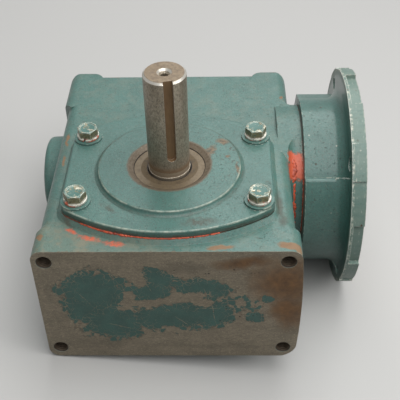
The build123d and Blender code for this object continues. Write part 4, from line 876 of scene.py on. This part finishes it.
def cover_bolt():
    """A hexagon screw: chamfered and dished head, washer face and a plain shank."""
    choose_nothing()
    bpy.ops.mesh.primitive_cylinder_add(
        vertices=6, radius=HEAD_FLATS / 2 / math.cos(math.pi / 6) * MM,
        depth=(HEAD_TOP - HEAD_BOTTOM - 0.3) * MM,
        location=mm(0, 0, (HEAD_TOP + HEAD_BOTTOM + 0.3) / 2), rotation=(0, 0, math.pi / 6))
    head = new_piece("cover_bolt_front_left")
    # The chamfer: a turned blank meets the hexagon
    bpy.ops.mesh.primitive_cylinder_add(vertices=72, radius=BLANK_RADIUS * MM, depth=BLANK_LENGTH * MM,
                                        location=mm(0, 0, HEAD_TOP - BLANK_LENGTH / 2))
    blank = bpy.context.object
    bpy.ops.object.mode_set(mode="EDIT")
    pick_faces(blank, lambda centre, normal: normal.z > 0.9)
    bpy.ops.mesh.inset(thickness=CHAMFER_WIDTH * MM)
    outer = (BLANK_RADIUS - CHAMFER_WIDTH / 2) * MM
    pick_points(blank, lambda place: place.z > 0 and place.xy.length > outer)
    bpy.ops.transform.translate(value=mm(0, 0, -CHAMFER_DROP))
    # The dish in the head's top
    pick_faces(blank, lambda centre, normal: normal.z > 0.99)
    bpy.ops.mesh.inset(thickness=DISH_RIM * MM)
    bpy.ops.mesh.inset(thickness=DISH_SLOPE * MM)
    bpy.ops.transform.translate(value=mm(0, 0, -DISH_DEPTH))
    bpy.ops.object.mode_set(mode="OBJECT")
    trim = head.modifiers.new("chamfer", "BOOLEAN")
    trim.operation, trim.object, trim.solver = "INTERSECT", blank, "EXACT"
    bpy.context.view_layer.objects.active = head
    bpy.ops.object.modifier_apply(modifier=trim.name)
    bpy.data.objects.remove(blank)
    # The bevelled edges take the second finish: rubbed plating with painted highlight.
    bevel(head, 0.40, sharper_than=20).material = 1
    head.data.materials.append(bolt_zinc)
    head.data.materials.append(bolt_edge_highlight)
    apply_all(head)
    # Washer face and shank
    choose_nothing()
    bpy.ops.mesh.primitive_cylinder_add(vertices=64, radius=FACE_RADIUS * MM, depth=FACE_HEIGHT * MM,
                                        location=mm(0, 0, HEAD_BOTTOM + FACE_HEIGHT / 2))
    face = bpy.context.object
    bpy.ops.mesh.primitive_cylinder_add(vertices=40, radius=SHANK_RADIUS * MM,
                                        depth=(HEAD_BOTTOM - SHANK_END) * MM,
                                        location=mm(0, 0, (HEAD_BOTTOM + SHANK_END) / 2 + 0.1))
    shank = bpy.context.object
    bpy.ops.object.mode_set(mode="EDIT")
    pick_faces(shank, lambda centre, normal: normal.z < -0.9)
    bpy.ops.transform.resize(value=(0.8, 0.8, 1.0))
    bpy.ops.object.mode_set(mode="OBJECT")
    for part in (face, shank, head):
        part.select_set(True)
    bpy.context.view_layer.objects.active = head
    bpy.ops.object.join()
    bpy.ops.object.transform_apply(location=True, rotation=True, scale=True)
    bpy.ops.object.shade_smooth_by_angle(angle=math.radians(32))
    return head


# The lock washers: middle radius, section and spring
WASHER_RADIUS, WASHER_WIDTH, WASHER_THICK, WASHER_SPRING = 6.2, 3.5, 1.75, 0.35


def lock_washer():
    """A split spring washer: a flat ring cut through and sprung a little apart."""
    choose_nothing()
    bpy.ops.mesh.primitive_plane_add(size=MM, location=mm(WASHER_RADIUS, 0, -0.7))
    ring = new_piece("cover_lock_washer_front_left")
    ring.rotation_euler = (math.pi / 2, 0, 0)
    ring.scale = (WASHER_WIDTH, WASHER_THICK, 1.0)
    bpy.ops.object.transform_apply(location=True, rotation=True, scale=True)
    bpy.ops.object.mode_set(mode="EDIT")
    bpy.ops.mesh.select_all(action="SELECT")
    bpy.ops.mesh.spin(steps=64, angle=math.radians(348), center=(0, 0, 0), axis=(0, 0, 1), dupli=False)
    bpy.ops.mesh.select_all(action="SELECT")
    bpy.ops.mesh.normals_make_consistent(inside=False)
    bpy.ops.object.mode_set(mode="OBJECT")
    # Sprung: one end stands about 0.35 mm higher than the other
    for vertex in ring.data.vertices:
        angle = math.atan2(vertex.co.y, vertex.co.x) % (2 * math.pi)
        vertex.co.z += (angle / (2 * math.pi) - 0.5) * WASHER_SPRING * MM
    bevel(ring, 0.22, sharper_than=40)
    apply_all(ring)
    bpy.ops.object.shade_smooth_by_angle(angle=math.radians(30))
    return ring


def with_copies(first, count):
    """The piece and its copies, each with its own mesh."""
    pieces = [first]
    for _ in range(count - 1):
        copy = first.copy()
        copy.data = first.data.copy()
        bpy.context.scene.collection.objects.link(copy)
        pieces.append(copy)
    return pieces


def set_round(first, places, turns, names, body, finish, stands_for):
    """The piece and its copies, turned and set at their places, in the stead of a CAD node."""
    for piece, (x, y), turn, name in zip(with_copies(first, len(places)), places, turns, names):
        piece.name = piece.data.name = name
        piece.location = mm(x, y, 0)
        piece.rotation_euler = (0, 0, math.radians(turn))
        settle(piece, body, finish)
        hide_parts(stands_for)


corners = ["front_left", "front_right", "back_left", "back_right"]
bolt_spots = [(x, y) for x, y, _ in BOLT_PLACES]
set_round(cover_bolt(), bolt_spots, [turn for _, _, turn in BOLT_PLACES],
          [f"cover_bolt_{corner}" for corner in corners], "case", bolt_zinc, "cover_bolts")
set_round(lock_washer(), bolt_spots, [200.0, 120.0, 250.0, 60.0],
          [f"cover_lock_washer_{corner}" for corner in corners], "case", washer_metal,
          "cover_lock_washers")


BOSS_FILLET = 2.4


def boss_fillet():
    """The cast fillet at the foot of the cover's round boss."""
    choose_nothing()
    middle, side = BOSS_RADIUS + BOSS_FILLET / 2 - 0.1, BOSS_FILLET + 0.2
    bpy.ops.mesh.primitive_plane_add(size=side * MM, rotation=(math.pi / 2, 0, 0),
                                     location=mm(middle, 0, PLATE_TOP + BOSS_FILLET / 2 - 0.1))
    ring = new_piece("cover_boss_fillet")
    bpy.ops.object.transform_apply(location=True, rotation=True, scale=True)
    bpy.ops.object.mode_set(mode="EDIT")
    bpy.ops.mesh.select_all(action="SELECT")
    bpy.ops.mesh.delete(type="ONLY_FACE")
    bpy.ops.mesh.select_all(action="SELECT")
    bpy.ops.mesh.spin(steps=160, angle=2 * math.pi, center=(0, 0, 0), axis=(0, 0, 1), dupli=False)
    bpy.ops.mesh.select_all(action="SELECT")
    bpy.ops.mesh.remove_doubles(threshold=0.01 * MM)
    bpy.ops.mesh.delete_loose()
    bpy.ops.mesh.normals_make_consistent(inside=False)
    bpy.ops.object.mode_set(mode="OBJECT")
    bpy.ops.mesh.primitive_torus_add(
        major_radius=(BOSS_RADIUS + BOSS_FILLET) * MM, minor_radius=BOSS_FILLET * MM,
        major_segments=160, minor_segments=40, location=mm(0, 0, PLATE_TOP + BOSS_FILLET))
    rounding = bpy.context.object
    cut = ring.modifiers.new("fillet", "BOOLEAN")
    cut.operation, cut.object, cut.solver = "DIFFERENCE", rounding, "EXACT"
    choose_nothing()
    ring.select_set(True)
    apply_all(ring)
    bpy.data.objects.remove(rounding)
    bpy.ops.object.mode_set(mode="EDIT")
    bpy.ops.mesh.select_all(action="SELECT")
    bpy.ops.mesh.remove_doubles(threshold=0.02 * MM)
    bpy.ops.mesh.dissolve_degenerate(threshold=0.01 * MM)
    bpy.ops.object.mode_set(mode="OBJECT")
    bpy.ops.object.shade_smooth_by_angle(angle=math.radians(30))
    return settle(ring, "case", cover_paint)


def sealant_rope(name, beads, voxel, lumps):
    """Sealant as it sets: beads that run together, with a lumpy skin.

    Each bead has a centre, a radius, a flatness and a turn about X."""
    choose_nothing()
    parts = []
    for centre, size, flat, turn in beads:
        bpy.ops.mesh.primitive_uv_sphere_add(segments=14, ring_count=8, radius=size * MM,
                                             location=mm(*centre), rotation=(turn, 0, 0))
        bead = bpy.context.object
        bead.scale = (1.0, 1.0, flat)
        parts.append(bead)
    for bead in parts:
        bead.select_set(True)
    bpy.context.view_layer.objects.active = parts[0]
    bpy.ops.object.join()
    rope = new_piece(name)
    bpy.ops.object.transform_apply(location=True, rotation=True, scale=True)
    melt = rope.modifiers.new("melt", "REMESH")
    melt.mode, melt.voxel_size = "VOXEL", voxel * MM
    skin = bpy.data.textures.new(name, "CLOUDS")
    skin.noise_scale, skin.noise_depth = 0.0022, 3
    swell = rope.modifiers.new("lumps", "DISPLACE")
    swell.texture, swell.strength, swell.texture_coords = skin, lumps * MM, "LOCAL"
    soft = rope.modifiers.new("soft", "SMOOTH")
    soft.iterations = 2
    apply_all(rope)
    bpy.ops.object.shade_smooth()
    return settle(rope, "case", red_sealant)


BEAD_CIRCLE = 56.7


def joint_sealant():
    """Beads on the boss beside the adapter's joint: thick above, then a thread, then thick again."""
    chance = random.Random(7)
    beads = []
    for angle in range(400, 1060, 9):
        angle = angle / 10
        if angle < 58:
            reach, width, size = 7.0, 4.5 * math.sin(math.radians((angle - 38) * 9)) + 1.0, 1.5
        elif angle < 72:
            reach, width, size = 2.4, 0.7, 0.9
        else:
            reach, width, size = 3.4, 2.0, 1.3
        for _ in range(3 if angle < 58 else 2):
            back = reach / 2 + chance.uniform(-width, width) * 0.7
            turn = math.radians(angle + chance.uniform(-0.5, 0.5))
            spread = size * chance.uniform(0.7, 1.3)
            beads.append(((spigot_end - max(back, 0.4), worm_y - BEAD_CIRCLE * math.sin(turn),
                           worm_z + BEAD_CIRCLE * math.cos(turn)), spread, 0.55, turn))
    return sealant_rope("joint_sealant", beads, 0.34, 0.5)


def cover_sealant():
    """A broken bead squeezed out under the cover's front edge."""
    chance = random.Random(11)
    beads = []
    for step in range(190):
        x = -60.0 + step * 0.5
        if x < -56.5:
            continue
        if chance.random() < 0.12 + (0.25 if x > 10 else 0.0):
            continue
        y = PLATE_ARC_Y - math.sqrt(PLATE_ARC_RADIUS ** 2 - x * x)
        size = chance.uniform(0.45, 0.85) + (0.5 if -45 < x < -24 and chance.random() < 0.4 else 0.0)
        beads.append(((x, y - 0.1, -8.9 - 0.2 * chance.random()), size, 0.8, 0.0))
    return sealant_rope("cover_sealant", beads, 0.26, 0.35)


THREAD_RADIUS, THREAD_SECTION, THREAD_PITCH, THREAD_TURNS = 4.85, 0.62, 1.5875, 9


def hole_threads():
    """The threads of the four tapped holes in the front face, each a coil along its hole."""
    choose_nothing()
    bpy.ops.mesh.primitive_circle_add(vertices=6, radius=THREAD_SECTION * MM,
                                      location=mm(THREAD_RADIUS, 0, 0))
    coil = new_piece("front_hole_thread_low_left")
    bpy.ops.object.transform_apply(location=True, rotation=True, scale=True)
    wind = coil.modifiers.new("wind", "SCREW")
    wind.axis, wind.screw_offset, wind.iterations = "Y", THREAD_PITCH * MM, THREAD_TURNS
    wind.steps = wind.render_steps = 24
    apply_all(coil)
    bpy.ops.object.mode_set(mode="EDIT")
    bpy.ops.mesh.select_all(action="SELECT")
    bpy.ops.mesh.remove_doubles(threshold=0.01 * MM)
    bpy.ops.mesh.fill_holes(sides=0)
    bpy.ops.mesh.select_all(action="SELECT")
    bpy.ops.mesh.normals_make_consistent(inside=False)
    bpy.ops.object.mode_set(mode="OBJECT")
    sides = [(x, z) for x in ((-1, "left"), (1, "right")) for z in ((-1, "low"), (1, "high"))]
    for piece, ((side_x, name_x), (side_z, name_z)) in zip(with_copies(coil, len(sides)), sides):
        piece.name = piece.data.name = f"front_hole_thread_{name_z}_{name_x}"
        piece.location = mm(side_x * HOLE_X, front_y + 1.3, worm_z + side_z * HOLE_Z)
        settle(piece, "case", thread_rust_and_shade)


boss_fillet()
joint_sealant()
cover_sealant()
hole_threads()


# Camera, lamps and floor


CAMERA_PLACE, CAMERA_TURN, CAMERA_LENS = (35.23, -439.66, 348.03), (49.0626, 1.1359, 0.9144), 72.40
FLOOR_LEFT = (-88.0, -117.4)  # X and Z where the housing's left edge rests
SKY_ON_PIECE, SKY_IN_VIEW = 0.11, 0.50


def camera_as_in_photograph():
    camera = bpy.data.objects.new("camera", bpy.data.cameras.new("camera"))
    camera.data.lens = CAMERA_LENS
    camera.data.sensor_width = 36.0
    camera.data.clip_start = 0.01
    camera.location = mm(*CAMERA_PLACE)
    camera.rotation_euler = [math.radians(v) for v in CAMERA_TURN]
    bpy.context.scene.collection.objects.link(camera)
    bpy.context.scene.camera = camera


def studio_floor():
    """The reducer rests on its flange's rim and the housing's left edge, so the floor slopes."""
    choose_nothing()
    bpy.ops.mesh.primitive_plane_add(size=6.0)
    floor = new_piece("studio_floor")
    (left_x, left_z), (right_x, right_z) = FLOOR_LEFT, (motor_face, adapter_low.z)
    floor.rotation_euler = (0, math.atan2(left_z - right_z, right_x - left_x), 0)
    floor.location = mm(right_x, 0, right_z - 0.1)
    pale = Finish("pale_floor", FLOOR_GREY, 0.85)
    light = pale.nodes.new("ShaderNodeLightPath")
    seen = pale.either(light.outputs["Is Camera Ray"],
                       pale.either(light.outputs["Is Glossy Ray"], light.outputs["Is Transmission Ray"]))
    pale.lay(seen, FLOOR_IN_VIEW)
    floor.data.materials.append(pale.done(0.0))


def studio_sky():
    """Weak light from all round, which looks brighter to the camera and in gloss and glass."""
    world = bpy.data.worlds.new("studio")
    world.use_nodes = True
    sky, wire = world.node_tree.nodes, world.node_tree.links.new
    sky["Background"].inputs["Color"].default_value = SKY
    rays = sky.new("ShaderNodeLightPath")
    seen = rays.outputs["Is Glossy Ray"]
    for kind in ("Is Transmission Ray", "Is Camera Ray"):
        either = sky.new("ShaderNodeMath")
        either.operation, either.use_clamp = "ADD", True
        wire(seen, either.inputs[0])
        wire(rays.outputs[kind], either.inputs[1])
        seen = either.outputs[0]
    level = sky.new("ShaderNodeMapRange")
    level.inputs["To Min"].default_value, level.inputs["To Max"].default_value = SKY_ON_PIECE, SKY_IN_VIEW
    wire(seen, level.inputs["Value"])
    wire(level.outputs[0], sky["Background"].inputs["Strength"])
    bpy.context.scene.world = world


def area_lamp(name, shape, energy, place, tilt=0.0, **sizes):
    lamp = bpy.data.lights.new(name, "AREA")
    lamp.shape, lamp.energy = shape, energy
    for side, size in sizes.items():
        setattr(lamp, side, size)
    holder = bpy.data.objects.new(name, lamp)
    holder.location = place
    holder.rotation_euler = (0, math.radians(tilt), 0)
    bpy.context.scene.collection.objects.link(holder)


camera_as_in_photograph()
studio_floor()
studio_sky()
area_lamp("overhead_softbox", "RECTANGLE", 36.5, (0.29, 0.12, 1.25), size=1.1, size_y=3.6)
area_lamp("right_fill", "SQUARE", 6.0, (1.1, -0.25, 0.62), tilt=60, size=0.8)
bpy.context.scene.view_settings.view_transform = "Standard"
